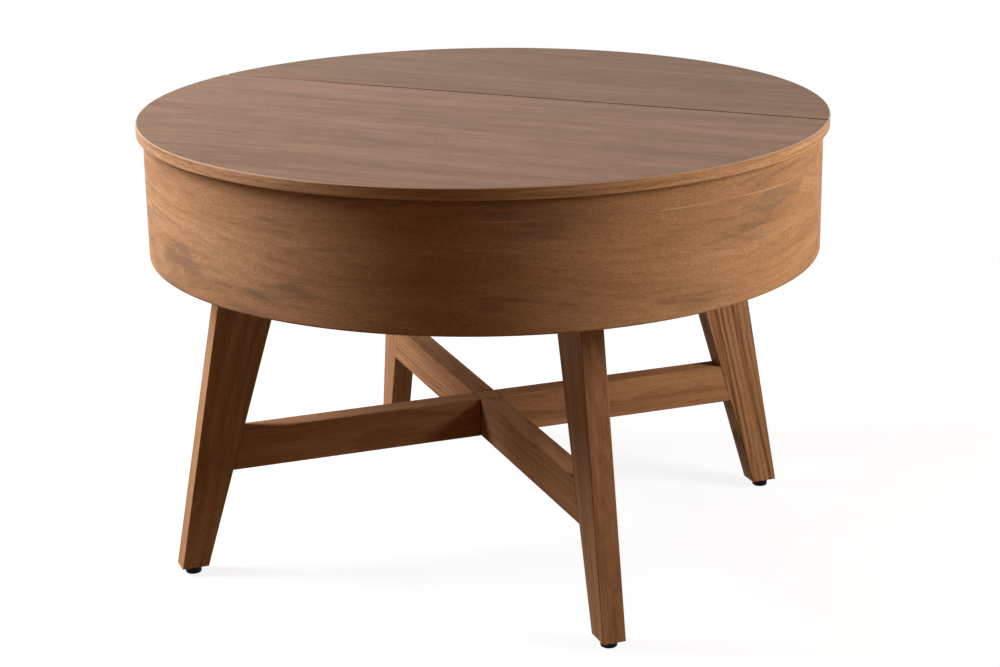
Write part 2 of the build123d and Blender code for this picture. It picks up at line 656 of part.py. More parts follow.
with BuildPart() as side_bracket_screws:
    with Locations(*at_x(bracket_face_x, side_screw_points)):
        Cone(
            SCREW_HEAD_DIAMETER / 2,
            SCREW_DIAMETER / 2,
            SCREW_HEAD_HEIGHT,
            rotation=ALONG_X,
            align=FROM_BASE,
        )
        Cylinder(SCREW_DIAMETER / 2, SIDE_SCREW_LENGTH, rotation=ALONG_X, align=FROM_BASE)
    mirror(about=Plane.YZ)
finish("side_bracket_screws", side_bracket_screws.part)

# ---- Lower pivots: headed rivets whose necks are set in the side brackets
with BuildPart() as lower_pivot_rivets:
    with Locations(*at_x(lower_head_x, [lower_rear, lower_front])):
        Cylinder(PIVOT_HEAD_DIAMETER / 2, PIVOT_HEAD_HEIGHT, rotation=ALONG_X, align=FROM_BASE)
        Cylinder(PIVOT_DIAMETER / 2, bracket_face_x - lower_head_x, rotation=ALONG_X, align=FROM_BASE)
        Cylinder(
            BRACKET_NECK_DIAMETER / 2, partition_inner_x - lower_head_x, rotation=ALONG_X, align=FROM_BASE
        )
    mirror(about=Plane.YZ)
finish("lower_pivot_rivets", lower_pivot_rivets.part)

with BuildPart() as lower_pivot_washers:
    with BuildSketch(Plane.YZ.offset(bracket_face_x - WASHER_THICKNESS)):
        with Locations(lower_rear, lower_front):
            Circle(WASHER_DIAMETER / 2)
            Circle(PIVOT_DIAMETER / 2 + FIT_CLEARANCE, mode=Mode.SUBTRACT)
    extrude(amount=WASHER_THICKNESS)
    mirror(about=Plane.YZ)
finish("lower_pivot_washers", lower_pivot_washers.part)

# ---- Open stop: a rubber sleeve on a stud that the front arm leans on when the top is up
with BuildPart() as stop_studs:
    with Locations(*at_x(bracket_face_x - STOP_SLEEVE_LENGTH, [stop_centre])):
        Cylinder(
            STOP_STUD_DIAMETER / 2,
            STOP_SLEEVE_LENGTH + BRACKET_THICKNESS,
            rotation=ALONG_X,
            align=FROM_BASE,
        )
    mirror(about=Plane.YZ)
finish("stop_studs", stop_studs.part)

with BuildPart() as stop_sleeves:
    with BuildSketch(Plane.YZ.offset(bracket_face_x - STOP_SLEEVE_LENGTH)):
        with Locations(stop_centre):
            Circle(STOP_SLEEVE_DIAMETER / 2)
            Circle(STOP_STUD_DIAMETER / 2 + FIT_CLEARANCE, mode=Mode.SUBTRACT)
    extrude(amount=STOP_SLEEVE_LENGTH)
    mirror(about=Plane.YZ)
finish("stop_sleeves", stop_sleeves.part)

# ---- Rear arms: each carries a lug for its spring, and the cross bar ties the two
with BuildPart() as right_rear_arm:
    with BuildSketch(Plane.YZ.offset(arm_inner_x)):  # the lug
        with Locations(lower_rear):
            Circle(ARM_EYE_DIAMETER / 2)
        with Locations(spring_lug):
            Circle(SPRING_LUG_EYE / 2)
        make_hull()
    with BuildSketch(Plane.YZ.offset(arm_inner_x)):  # the blade and its eyes
        with Locations(lower_rear, upper_rear):
            Circle(ARM_WIDTH / 2)
        make_hull()
        with Locations(lower_rear, upper_rear):
            Circle(ARM_EYE_DIAMETER / 2)
    extrude(amount=ARM_THICKNESS)
    for point, diameter, clearance in (
        (lower_rear, PIVOT_DIAMETER, PIVOT_CLEARANCE),
        (upper_rear, PIVOT_DIAMETER, PIVOT_CLEARANCE),
        (spring_lug, SPRING_PIN_DIAMETER, FIT_CLEARANCE),
    ):
        with Locations(*at_x(arm_inner_x, [point])):
            Cylinder(
                diameter / 2 + clearance, ARM_THICKNESS, rotation=ALONG_X, align=FROM_BASE, mode=Mode.SUBTRACT
            )

with BuildPart() as cross_bar:
    with BuildSketch(Plane.YZ):
        with Locations(cross_bar_centre):
            Circle(CROSS_BAR_DIAMETER / 2)
            Circle(CROSS_BAR_DIAMETER / 2 - CROSS_BAR_WALL, mode=Mode.SUBTRACT)
    extrude(amount=arm_inner_x, both=True)
finish("cross_bar", cross_bar.part)

# ---- Front arms: plain links that keep the top level
with BuildPart() as right_front_arm:
    with BuildSketch(Plane.YZ.offset(arm_inner_x)):
        with Locations(lower_front, upper_front):
            Circle(ARM_WIDTH / 2)
        make_hull()
        with Locations(lower_front, upper_front):
            Circle(ARM_EYE_DIAMETER / 2)
    extrude(amount=ARM_THICKNESS)
    for point, clearance in ((lower_front, PIVOT_CLEARANCE), (upper_front, OPEN_PIVOT_CLEARANCE)):
        with Locations(*at_x(arm_inner_x, [point])):
            Cylinder(
                PIVOT_DIAMETER / 2 + clearance,
                ARM_THICKNESS,
                rotation=ALONG_X,
                align=FROM_BASE,
                mode=Mode.SUBTRACT,
            )

# ---- Top brackets: bent plates, screwed up into the lift panel
with BuildPart() as right_top_bracket:
    with BuildSketch(Plane.YZ.offset(top_bracket_inner_x)):
        with Locations(upper_rear, upper_front):
            Circle(ARM_EYE_DIAMETER / 2)
        with Locations((flange_mid_y, panel_under_z - BRACKET_THICKNESS / 2)):
            Rectangle(TOP_FLANGE_LENGTH, BRACKET_THICKNESS)
        make_hull()
    extrude(amount=BRACKET_THICKNESS)
    with Locations((top_bracket_outer_x, flange_mid_y, flange_under_z)):
        Box(
            TOP_FLANGE_WIDTH,
            TOP_FLANGE_LENGTH,
            BRACKET_THICKNESS,
            align=(Align.MAX, Align.CENTER, Align.MIN),
        )
    bend_edge = right_top_bracket.edges().filter_by(Axis.Y).group_by(Axis.Z)[-1].sort_by(Axis.X)[-1]
    fillet(bend_edge, BRACKET_BEND_RADIUS)
    with Locations(*at_x(top_bracket_inner_x, [upper_rear, upper_front])):
        Cylinder(
            BRACKET_NECK_DIAMETER / 2 + FIT_CLEARANCE,
            BRACKET_THICKNESS,
            rotation=ALONG_X,
            align=FROM_BASE,
            mode=Mode.SUBTRACT,
        )
    with Locations(*[place for place in bracket_screw_places if place[0] > 0]):
        Cylinder(SCREW_DIAMETER / 2 + FIT_CLEARANCE, BRACKET_THICKNESS, align=FROM_BASE, mode=Mode.SUBTRACT)

with BuildPart() as top_bracket_screws:
    with Locations(*bracket_screw_places):
        Cylinder(SCREW_DIAMETER / 2, BRACKET_SCREW_LENGTH, align=FROM_BASE)
        Cylinder(
            SCREW_HEAD_DIAMETER / 2, SCREW_HEAD_HEIGHT, align=(Align.CENTER, Align.CENTER, Align.MAX)
        )
finish("top_bracket_screws", top_bracket_screws.part)

# ---- Upper pivots: the rivets' heads are outside the arms and their necks in the top brackets
upper_head_x = arm_outer_x + AXIAL_CLEARANCE
with BuildPart() as upper_pivot_rivets:
    with Locations(*at_x(top_bracket_inner_x, [upper_rear, upper_front])):
        Cylinder(
            BRACKET_NECK_DIAMETER / 2, upper_head_x - top_bracket_inner_x, rotation=ALONG_X, align=FROM_BASE
        )
    with Locations(*at_x(top_bracket_outer_x, [upper_rear, upper_front])):
        Cylinder(PIVOT_DIAMETER / 2, upper_head_x - top_bracket_outer_x, rotation=ALONG_X, align=FROM_BASE)
    with Locations(*at_x(upper_head_x, [upper_rear, upper_front])):
        Cylinder(PIVOT_HEAD_DIAMETER / 2, PIVOT_HEAD_HEIGHT, rotation=ALONG_X, align=FROM_BASE)
    mirror(about=Plane.YZ)
finish("upper_pivot_rivets", upper_pivot_rivets.part)

with BuildPart() as upper_pivot_washers:
    with BuildSketch(Plane.YZ.offset(top_bracket_outer_x)):
        with Locations(upper_rear, upper_front):
            Circle(WASHER_DIAMETER / 2)
            Circle(PIVOT_DIAMETER / 2 + FIT_CLEARANCE, mode=Mode.SUBTRACT)
    extrude(amount=WASHER_THICKNESS)
    mirror(about=Plane.YZ)
finish("upper_pivot_washers", upper_pivot_washers.part)

# ---- Spring pins: the anchors stand on the side brackets, the lug pins on the rear arms
for name, point, root_x in (
    ("spring_anchor_pins", spring_anchor, partition_inner_x),
    ("spring_lug_pins", spring_lug, arm_outer_x),
):
    with BuildPart() as spring_pins:
        with Locations(*at_x(spring_pin_end_x, [point])):
            Cylinder(SPRING_PIN_DIAMETER / 2, root_x - spring_pin_end_x, rotation=ALONG_X, align=FROM_BASE)
            Cylinder(
                SPRING_PIN_HEAD_DIAMETER / 2, SPRING_PIN_HEAD_HEIGHT, rotation=ALONG_X, align=FROM_BASE
            )
        mirror(about=Plane.YZ)
    finish(name, spring_pins.part)

# ---- Springs: a plain coil body with a wire eye at each end, stretched as the top closes
spring_run = hypot(spring_lug[0] - spring_anchor[0], spring_lug[1] - spring_anchor[1])
hook_radius = SPRING_PIN_DIAMETER / 2 + FIT_CLEARANCE + SPRING_WIRE / 2
spring_plane = Plane(
    origin=(spring_x, *spring_anchor),
    x_dir=(1, 0, 0),
    z_dir=(0, spring_lug[0] - spring_anchor[0], spring_lug[1] - spring_anchor[1]),
)
with BuildPart() as right_spring:
    with BuildSketch(spring_plane.offset(SPRING_HOOK_LENGTH)):
        Circle(SPRING_DIAMETER / 2)
    extrude(amount=spring_run - 2 * SPRING_HOOK_LENGTH)
    with BuildSketch(spring_plane.offset(hook_radius)):
        Circle(SPRING_WIRE / 2)
    extrude(amount=spring_run - 2 * hook_radius)
    with Locations(*at_x(spring_x, [spring_anchor, spring_lug])):
        Torus(hook_radius, SPRING_WIRE / 2, rotation=ALONG_X)

for piece_name, right_piece in (
    ("side_bracket", right_side_bracket),
    ("rear_arm", right_rear_arm),
    ("front_arm", right_front_arm),
    ("top_bracket", right_top_bracket),
    ("spring", right_spring),
):
    with BuildPart() as left_piece:
        mirror(right_piece.part, about=Plane.YZ)
    finish(f"right_{piece_name}", right_piece.part)
    finish(f"left_{piece_name}", left_piece.part)

os.makedirs("parts", exist_ok=True)
for name, part in pieces.items():
    export_step(part, f"parts/{name}.step")
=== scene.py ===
"""Looks of a round lift top coffee table.

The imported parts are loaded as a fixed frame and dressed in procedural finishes. Screws, rivets and
springs are modelled here, because their drive recesses, threads, domes and coils are fine detail.
Lengths are metres and angles are degrees, unless a docstring says otherwise. +Z is up and the
sitter is at -Y.
"""

import json
import logging
import math
from dataclasses import dataclass, replace
from enum import Enum
from typing import Callable, Sequence, Union

import bmesh
import bpy
from mathutils import Matrix, Vector

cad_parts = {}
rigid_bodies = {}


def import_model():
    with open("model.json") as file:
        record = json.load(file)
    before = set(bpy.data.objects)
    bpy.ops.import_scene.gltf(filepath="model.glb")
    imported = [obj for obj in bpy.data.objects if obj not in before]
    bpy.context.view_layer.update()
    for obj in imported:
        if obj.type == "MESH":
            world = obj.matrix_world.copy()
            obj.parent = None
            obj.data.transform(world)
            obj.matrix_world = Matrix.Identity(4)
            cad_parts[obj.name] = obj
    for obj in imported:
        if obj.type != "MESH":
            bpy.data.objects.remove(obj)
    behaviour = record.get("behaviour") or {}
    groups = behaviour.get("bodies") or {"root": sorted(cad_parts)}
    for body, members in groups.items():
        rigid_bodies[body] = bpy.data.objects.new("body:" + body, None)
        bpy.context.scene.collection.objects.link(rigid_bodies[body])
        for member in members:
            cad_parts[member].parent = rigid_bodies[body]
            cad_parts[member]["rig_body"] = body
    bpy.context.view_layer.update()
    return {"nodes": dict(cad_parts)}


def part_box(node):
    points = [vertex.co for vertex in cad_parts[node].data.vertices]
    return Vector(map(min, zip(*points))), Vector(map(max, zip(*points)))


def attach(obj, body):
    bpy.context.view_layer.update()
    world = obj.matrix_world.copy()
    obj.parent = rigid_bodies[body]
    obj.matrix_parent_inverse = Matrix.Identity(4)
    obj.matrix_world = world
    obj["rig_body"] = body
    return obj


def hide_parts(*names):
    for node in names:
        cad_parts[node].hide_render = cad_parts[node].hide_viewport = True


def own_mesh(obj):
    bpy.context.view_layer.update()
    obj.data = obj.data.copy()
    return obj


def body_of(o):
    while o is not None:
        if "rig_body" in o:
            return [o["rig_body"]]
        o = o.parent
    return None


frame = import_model()

log = logging.getLogger("coffee_table")

Pair = tuple[float, float]
Triple = tuple[float, float, float]
Colour = Triple
Value = Union[float, "Field"]
MM = 0.001
FULL_TURN = 2.0 * math.pi
UP = Vector((0.0, 0.0, 1.0))


class Cut(Enum):
    """How a wood surface's figure is laid out."""

    FLAT_SAWN = "flat_sawn"
    STRAIGHT = "straight"


class Drive(Enum):
    """Shape of the recess in a fastener's head."""

    NONE = "none"
    CROSS = "cross"
    HEXAGON = "hexagon"


class Facing(Enum):
    """Way that a fastener points, from its head to its tip."""

    OUTWARD = "away from the table's middle plane"
    INWARD = "towards the table's middle plane"
    UP = "up"
    DOWN = "down"


def polar(radius: float, turn: float, level: float = 0.0) -> Vector:
    """Point at a radius, a turn in radians and a level about the Z axis."""
    return Vector((radius * math.cos(turn), radius * math.sin(turn), level))


def scaled(colour: Colour, share: float, lift: float = 0.0) -> Colour:
    """A colour times a share, plus a lift."""
    return tuple(share * channel + lift for channel in colour)


# ---- Node graph helpers


def arithmetic(operation: str, mirrored: bool = False) -> Callable[..., "Field"]:
    """Make a method that combines fields with a Math node.

    Args:
        operation: The node's operation.
        mirrored: Whether the method's own field comes last.

    Returns:
        The method.
    """

    def combine(field: "Field", *others: Value) -> "Field":
        """Add the node."""
        values = (*others, field) if mirrored else (field, *others)
        return field.graph.node("Math", *values, operation=operation)

    return combine


class Field:
    """A node's output: a number, vector or colour that varies over the surface, or a shader."""

    __add__ = arithmetic("ADD")
    __sub__ = arithmetic("SUBTRACT")
    __rsub__ = arithmetic("SUBTRACT", True)
    __mul__ = arithmetic("MULTIPLY")
    __truediv__ = arithmetic("DIVIDE")
    __abs__ = arithmetic("ABSOLUTE")
    times_plus = arithmetic("MULTIPLY_ADD")
    larger = arithmetic("MAXIMUM")
    root = arithmetic("SQRT")
    fraction = arithmetic("FRACT")
    turn_from = arithmetic("ARCTAN2")

    def __init__(self, graph: "Graph", socket: bpy.types.NodeSocket) -> None:
        """Take a socket of a graph's node."""
        self.graph = graph
        self.socket = socket

    def parts(self) -> list["Field"]:
        """The three parts of a vector."""
        outputs = self.graph.node("SeparateXYZ", self).socket.node.outputs
        return [Field(self.graph, socket) for socket in outputs]

    def remap(self, *ranges: float) -> "Field":
        """Map a low and a high value onto 0 and 1, or another low and high, with smooth ends."""
        return self.graph.node("MapRange", self, *ranges, interpolation_type="SMOOTHSTEP")

    def noise(self, rates: Triple, shift: float, detail: float, roughness: float) -> "Field":
        """Noise between 0 and 1 at a rate on each axis, with a number of finer layers and their share."""
        moved = self.graph.node("VectorMath", self, rates, (shift,) * 3, operation="MULTIPLY_ADD")
        return self.graph.node("TexNoise", Vector=moved, Scale=1.0, Detail=detail, Roughness=roughness)

    def ramp(self, *stops: tuple[float, Colour]) -> "Field":
        """Colour from a number.

        Args:
            *stops: Position and linear colour of each stop, in order.

        Returns:
            The colour.
        """
        made = self.graph.node("ValToRGB", self)
        elements = made.socket.node.color_ramp.elements
        while len(elements) < len(stops):
            elements.new(1.0)
        for element, (position, colour) in zip(elements, stops):
            element.position = position
            element.color = (*colour, 1.0)
        return made

    def blend(self, first: object, second: object) -> "Field":
        """Mix two colours, with this share of the second, past the node's inputs for other kinds."""
        return self.graph.node("Mix", self, *(None,) * 5, first, second, output=2, data_type="RGBA")


class Graph:
    """The node tree of a material or world."""

    def __init__(self, name: str, world: bool = False) -> None:
        """Start an empty material or world.

        Args:
            name: Its name.
            world: Whether it is a world.
        """
        self.owner = (bpy.data.worlds if world else bpy.data.materials).new(name)
        self.owner.use_nodes = True
        self.tree = self.owner.node_tree
        self.tree.nodes.clear()

    def feed(self, socket: bpy.types.NodeSocket, value: object) -> None:
        """Link an input, set it to a constant, or leave it.

        Args:
            socket: The input.
            value: A field, a number, a vector, a colour or None.
        """
        if isinstance(value, Field):
            self.tree.links.new(value.socket, socket)
        elif value is not None:
            socket.default_value = (*value, 1.0) if socket.type == "RGBA" else value

    def node(
        self, kind: str, *values: object, output: Union[int, str] = 0, **settings: object
    ) -> Union[Field, None]:
        """Add a node.

        Args:
            kind: The node's type, without the "ShaderNode" prefix.
            *values: What feeds its first inputs.
            output: The output that is wanted.
            **settings: Its attributes, and what feeds other inputs, by their names with underscores.

        Returns:
            The output, or None where the node has none.
        """
        made = self.tree.nodes.new("ShaderNode" + kind)
        for key, setting in settings.items():
            if key[0].isupper():
                self.feed(made.inputs[key.replace("_", " ")], setting)
            else:
                setattr(made, key, setting)
        for socket, value in zip(made.inputs, values):
            self.feed(socket, value)
        return Field(self, made.outputs[output]) if made.outputs else None

    def place(self) -> Field:
        """Position in the row frame at rest, which moves with the piece."""
        return self.node("TexCoord", output="Object")

    def texture(self, rate: float, detail: float, roughness: float) -> Field:
        """Noise at one rate all over the piece, with its finer layers' number and share."""
        return self.place().noise((rate,) * 3, 0.0, detail, roughness)

    def surface(self, coat: "Coat", relief: Pair, **constants: float) -> bpy.types.Material:
        """Finish the material with a Principled surface.

        Args:
            coat: Its colour, roughness and relief.
            relief: Share of the relief that shows, and the depth of a height of 1.
            **constants: Constants of other inputs, by their names with underscores.

        Returns:
            The finished material.
        """
        normal = self.node("Bump", *relief, Height=coat.height)
        self.node(
            "OutputMaterial",
            self.node("BsdfPrincipled", coat.colour, Roughness=coat.roughness, Normal=normal, **constants),
        )
        return self.owner


# ---- Directions that wood's figure follows


@dataclass(frozen=True)
class BoardGrain:
    """Figure of a straight board or a flat sheet.

    Attributes:
        along: Unit vector that the fibres run in.
        across: Unit vector across the board's face.
        depth: Unit vector into the board.
        origin: Point that the pattern starts from.
    """

    along: Triple = (1.0, 0.0, 0.0)
    across: Triple = (0.0, 1.0, 0.0)
    depth: Triple = (0.0, 0.0, 1.0)
    origin: Triple = (0.0, 0.0, 0.0)

    def space(self, graph: Graph) -> Field:
        """Distances along, across and into the board, as a vector.

        Args:
            graph: The material to add nodes to.

        Returns:
            The vector.
        """
        moved = graph.node("VectorMath", graph.place(), self.origin, operation="SUBTRACT")
        reaches = [
            graph.node("VectorMath", moved, axis, output=1, operation="DOT_PRODUCT")
            for axis in (self.along, self.across, self.depth)
        ]
        return graph.node("CombineXYZ", *reaches)


@dataclass(frozen=True)
class WrappedGrain:
    """Figure of a strip bent round the table's axis.

    Attributes:
        radius: Radius of the strip.
        joint_azimuth: Where the strip's two ends meet.
    """

    radius: float
    joint_azimuth: float

    def space(self, graph: Graph) -> Field:
        """Distances round the axis from opposite the joint, up, and out, as a vector.

        Args:
            graph: The material to add nodes to.

        Returns:
            The vector.
        """
        back = math.pi - math.radians(self.joint_azimuth)
        x, y, z = graph.node("VectorRotate", graph.place(), Angle=back, rotation_type="Z_AXIS").parts()
        return graph.node("CombineXYZ", y.turn_from(x) * self.radius, z, (x * x + y * y).root())


Grain = Union[BoardGrain, WrappedGrain]


# ---- Finishes


@dataclass(frozen=True)
class Coat:
    """A surface's colour, its roughness, and the height of its relief between 0 and 1."""

    colour: Field
    roughness: Field
    height: Field


@dataclass(frozen=True)
class Layer:
    """One noise in a wood's figure.

    Attributes:
        size: Length and width of its blobs.
        shift: Distance from the piece's own part of the pattern.
        detail: Number of finer layers.
    """

    size: Pair
    shift: float
    detail: float = 1.0

    FINER_SHARE = 0.55

    def rates(self) -> Triple:
        """Rates of the noise along, across and into the wood."""
        return tuple(1.0 / self.size[index] for index in (0, 1, 1))


@dataclass(frozen=True)
class Walnut:
    """Satin lacquered walnut, as veneer or as solid boards.

    Attributes:
        dark: Colour of latewood and dark streaks.
        middle: The wood's general colour.
        light: Colour of pale streaks.
        cut: How the growth rings are laid out.
        streak: Length and width of the broad streaks.
        streak_gain: How strongly they show.
        fleck: Length and width of the short dark dashes.
        fleck_gain: How strongly they show.
        fibre_gain: How strongly the long fine fibres show.
        speckle_gain: How strongly the finest mottling shows.
        sway: How far the figure wanders across its run.
        ring_spacing: Distance between growth rings.
        ring_gain: How strongly the rings show.
        pith: Distance across and into the board to the tree's heart, for a flat sawn cut.
        smudge: How far soft grey brown patches darken the wood.
        pore_depth: How far open pores darken the wood.
        gloss: Roughness of the lacquer between pores.
        seed: Shift that picks this piece's part of the patterns.
    """

    dark: Colour = (0.20, 0.092, 0.038)
    middle: Colour = (0.40, 0.200, 0.092)
    light: Colour = (0.57, 0.325, 0.170)
    cut: Cut = Cut.STRAIGHT
    streak: Pair = (0.42, 0.022)
    streak_gain: float = 0.6
    fleck: Pair = (0.034, 0.0021)
    fleck_gain: float = 0.3
    fibre_gain: float = 0.35
    speckle_gain: float = 0.25
    sway: float = 0.030
    ring_spacing: float = 0.006
    ring_gain: float = 0.08
    pith: Pair = (0.05, 0.07)
    smudge: float = 0.0
    pore_depth: float = 0.35
    gloss: float = 0.42
    seed: float = 0.0

    WANDER = Layer((0.55, 0.16), 3.0)
    WAVE = Layer((0.12, 0.03), 5.0)
    FIBRE = Layer((0.16, 0.0011), 7.0, 3.0)
    PORE = Layer((0.007, 0.0008), 11.0)
    ARCH = Layer((0.50, 0.13), 13.0)
    RIPPLE = Layer((0.05, 0.012), 15.0, 2.0)
    PATCH = Layer((0.20, 0.05), 17.0)
    CLOUD = Layer((0.16, 0.055), 21.0, 2.0)
    WISP = Layer((0.06, 0.006), 23.0, 3.0)
    SPECKLE = Layer((0.0035, 0.0012), 27.0)
    TONES = (0.22, 0.5, 0.78)
    SMUDGE_TONE = (0.165, 0.105, 0.066)

    # How far noises reach in the sway, in ring spacings, in the cloud, in the roughness and in the relief.
    WAVE_REACH = 0.06
    ARCH_REACH = 9.0
    RIPPLE_REACH = 0.8
    WISP_REACH = 0.7
    ROUGHENING = 0.12
    FIBRE_RELIEF = 0.4

    # Where in a ring its wood turns pale and dark, and which noise heights are patches, clouds and pores.
    RING_LEAN = 0.4
    EARLY_WOOD = (0.0, 0.12)
    LATE_WOOD = (0.35, 1.0, 1.0, 0.0)
    PATCHES = (-0.2, 0.2, 0.35, 1.3)
    CLOUDS = (0.02, 0.30)
    PORES = (0.07, 0.20)

    def toned(self, tone: float) -> "Walnut":
        """The same wood with its three colours times a tone."""
        colours = (self.dark, self.middle, self.light)
        return replace(self, **dict(zip(("dark", "middle", "light"), (scaled(c, tone) for c in colours))))

    def read(self, space: Field, layer: Layer) -> Field:
        """A layer's noise, drawn out along the grain and centred on 0."""
        return space.noise(layer.rates(), self.seed + layer.shift, layer.detail, layer.FINER_SHARE) - 0.5

    def pile(self, space: Field, base: Value, *layers: tuple[Layer, float]) -> Field:
        """Add layers' noises to a value.

        Args:
            space: Distances along, across and into the wood.
            base: The value to start from.
            *layers: Each noise's layer and gain.

        Returns:
            The sum.
        """
        for layer, gain in layers:
            base = self.read(space, layer).times_plus(gain, base)
        return base

    def rings(self, bent: Field) -> Field:
        """Growth rings, negative at the dark end of each ring.

        Args:
            bent: Distances along, across and into the wood.

        Returns:
            The rings, centred on 0.
        """
        _, across, depth = bent.parts()
        if self.cut is Cut.FLAT_SAWN:
            across, depth = across + self.pith[0], depth + self.pith[1]
            distance = across.times_plus(across, depth * depth).root()
        else:
            distance = depth.times_plus(self.RING_LEAN, across)
        spacing = self.ring_spacing
        reaches = ((self.ARCH, self.ARCH_REACH * spacing), (self.RIPPLE, self.RIPPLE_REACH * spacing))
        turn = (self.pile(bent, distance, *reaches) / spacing).fraction()
        shade = turn.remap(*self.EARLY_WOOD) * turn.remap(*self.LATE_WOOD) - 0.5
        return shade * self.read(bent, self.PATCH).remap(*self.PATCHES)

    def coat(self, space: Field) -> Coat:
        """Colour, roughness and relief of the wood.

        Args:
            space: Distances along, across and into the wood.

        Returns:
            The coat.
        """
        shift = self.pile(space, 0.0, (self.WANDER, self.sway), (self.WAVE, self.WAVE_REACH * self.sway))
        graph = space.graph
        bent = graph.node("VectorMath", space, graph.node("CombineXYZ", 0.0, shift), operation="ADD")
        streaks = (Layer(self.streak, 0.0, 3.0), self.streak_gain)
        flecks = (Layer(self.fleck, 9.0, 3.0), self.fleck_gain)
        tone = self.pile(bent, 0.5, streaks, flecks, (self.FIBRE, self.fibre_gain))
        tone = self.pile(space, tone, (self.SPECKLE, self.speckle_gain))
        tone = self.rings(bent).times_plus(self.ring_gain, tone)
        colour = tone.ramp(*zip(self.TONES, (self.dark, self.middle, self.light)))
        if self.smudge > 0.0:
            cloud = self.pile(bent, 0.0, (self.CLOUD, 1.0), (self.WISP, self.WISP_REACH))
            colour = (cloud.remap(*self.CLOUDS) * self.smudge).blend(colour, self.SMUDGE_TONE)
        fibres = self.read(bent, self.FIBRE)
        pores = self.read(bent, self.PORE).remap(*self.PORES)
        colour = (pores * self.pore_depth).blend(colour, self.dark)
        roughness = pores.times_plus(self.ROUGHENING, fibres.times_plus(self.ROUGHENING, self.gloss))
        return Coat(colour, roughness, fibres.times_plus(self.FIBRE_RELIEF, 0.5) - pores)


@dataclass(frozen=True)
class PlainWood:
    """A lacquered board or sheet with one figure on every face.

    Attributes:
        name: Material name.
        wood: The wood.
        grain: Directions that its figure follows.
        mirror: Specular level of the lacquer.
    """

    name: str
    wood: Walnut
    grain: Grain
    mirror: float = 0.06

    RELIEF = (0.35, 0.00012)

    def coat(self, space: Field) -> Coat:
        """Colour, roughness and relief."""
        return self.wood.coat(space)

    def material(self) -> bpy.types.Material:
        """Build the finish."""
        graph = Graph(self.name)
        return graph.surface(self.coat(self.grain.space(graph)), self.RELIEF, Specular_IOR_Level=self.mirror)


@dataclass(frozen=True, kw_only=True)
class LappedWood(PlainWood):
    """A stretcher, with the dry joint line on each side of the one that crosses it.

    Attributes:
        half_lap: Half the width of the stretcher that crosses it, whose middle the figure starts from.
        line: Width of the joint line.
    """

    half_lap: float
    line: float = 0.9 * MM

    JOINT_TONE = (0.012, 0.006, 0.003)

    def coat(self, space: Field) -> Coat:
        """Colour, roughness and relief, with the joint lines.

        Args:
            space: Distances along, across and into the wood.

        Returns:
            The coat.
        """
        coat = self.wood.coat(space)
        outside = abs(space.parts()[0]) - self.half_lap
        gap = outside.remap(0.4 * self.line, self.line, 1.0, 0.0) * outside.remap(-0.1 * self.line, 0.0)
        return replace(coat, colour=gap.blend(coat.colour, self.JOINT_TONE))


@dataclass(frozen=True, kw_only=True)
class BandedPanel(PlainWood):
    """A veneered panel whose round edge has a strip of its own.

    Attributes:
        band: Wood of the edge strip.
        radius: The panel's radius.
        top: Height of the panel's upper face.
        seam: Distance behind the table's middle of the panel's straight edge.
        strip: Thickness of the edge strip.
        ease: Rounding of the upper edge.
        seam_fade: Places along the straight edge between which the painted shade at the seam comes up.
    """

    band: Walnut
    radius: float
    top: float
    seam: float
    strip: float
    ease: float
    seam_fade: Pair = (-0.31, -0.19)

    BAND_JOINT_AZIMUTH = 90.0
    # Colour of the painted highlight, a pale line along the middle of the eased upper edge.
    EDGE_HIGHLIGHT = (0.40, 0.27, 0.19)
    # Share of the dark wood colour in the painted shade at the seam.
    SEAM_SHADE_TONE = 0.15

    # Widths over which the strip starts, its joint fades and the painted shade at the seam fades.
    START = 0.2 * MM
    JOINT = (0.0, 0.3 * MM, 0.45, 0.0)
    SEAM = (0.5 * MM, 1.6 * MM, 0.85, 0.0)

    def coat(self, space: Field) -> Coat:
        """Colour, roughness and relief of the faces and the strip, with a painted highlight on the eased edge
        and painted shade along the seam.

        Args:
            space: Distances along, across and into the panel.

        Returns:
            The coat.
        """
        face = self.wood.coat(space)
        wrapped = WrappedGrain(self.radius, self.BAND_JOINT_AZIMUTH).space(space.graph)
        band = self.band.coat(wrapped)
        _, height, away = wrapped.parts()
        edge = self.radius - self.strip
        colour = away.remap(edge - self.START, edge).blend(face.colour, band.colour)
        colour = abs(away - edge).remap(*self.JOINT).blend(colour, self.band.dark)
        # Painted highlight: the middle of the eased upper edge is blended towards a pale colour, where a
        # lamp's reflection runs.
        inset, drop, ease = self.radius - away, self.top - height, self.ease
        width = abs(inset - drop).remap(0.3 * ease, 0.7 * ease, 0.75, 0.0)
        depth = (inset + drop).remap(0.8 * ease, ease, 1.0, 0.0)
        colour = (width * depth).blend(colour, self.EDGE_HIGHLIGHT)
        # Painted shade: the faces beside the straight edge are darkened as the shadow in the gap between the
        # panels, and this fades out towards the left end.
        x, y, _ = space.graph.place().parts()
        rim = abs(y - self.seam).remap(*self.SEAM) * x.remap(*self.seam_fade)
        colour = rim.blend(colour, scaled(self.wood.dark, self.SEAM_SHADE_TONE))
        return Coat(colour, face.roughness * 0.5 + band.roughness * 0.5, face.height)


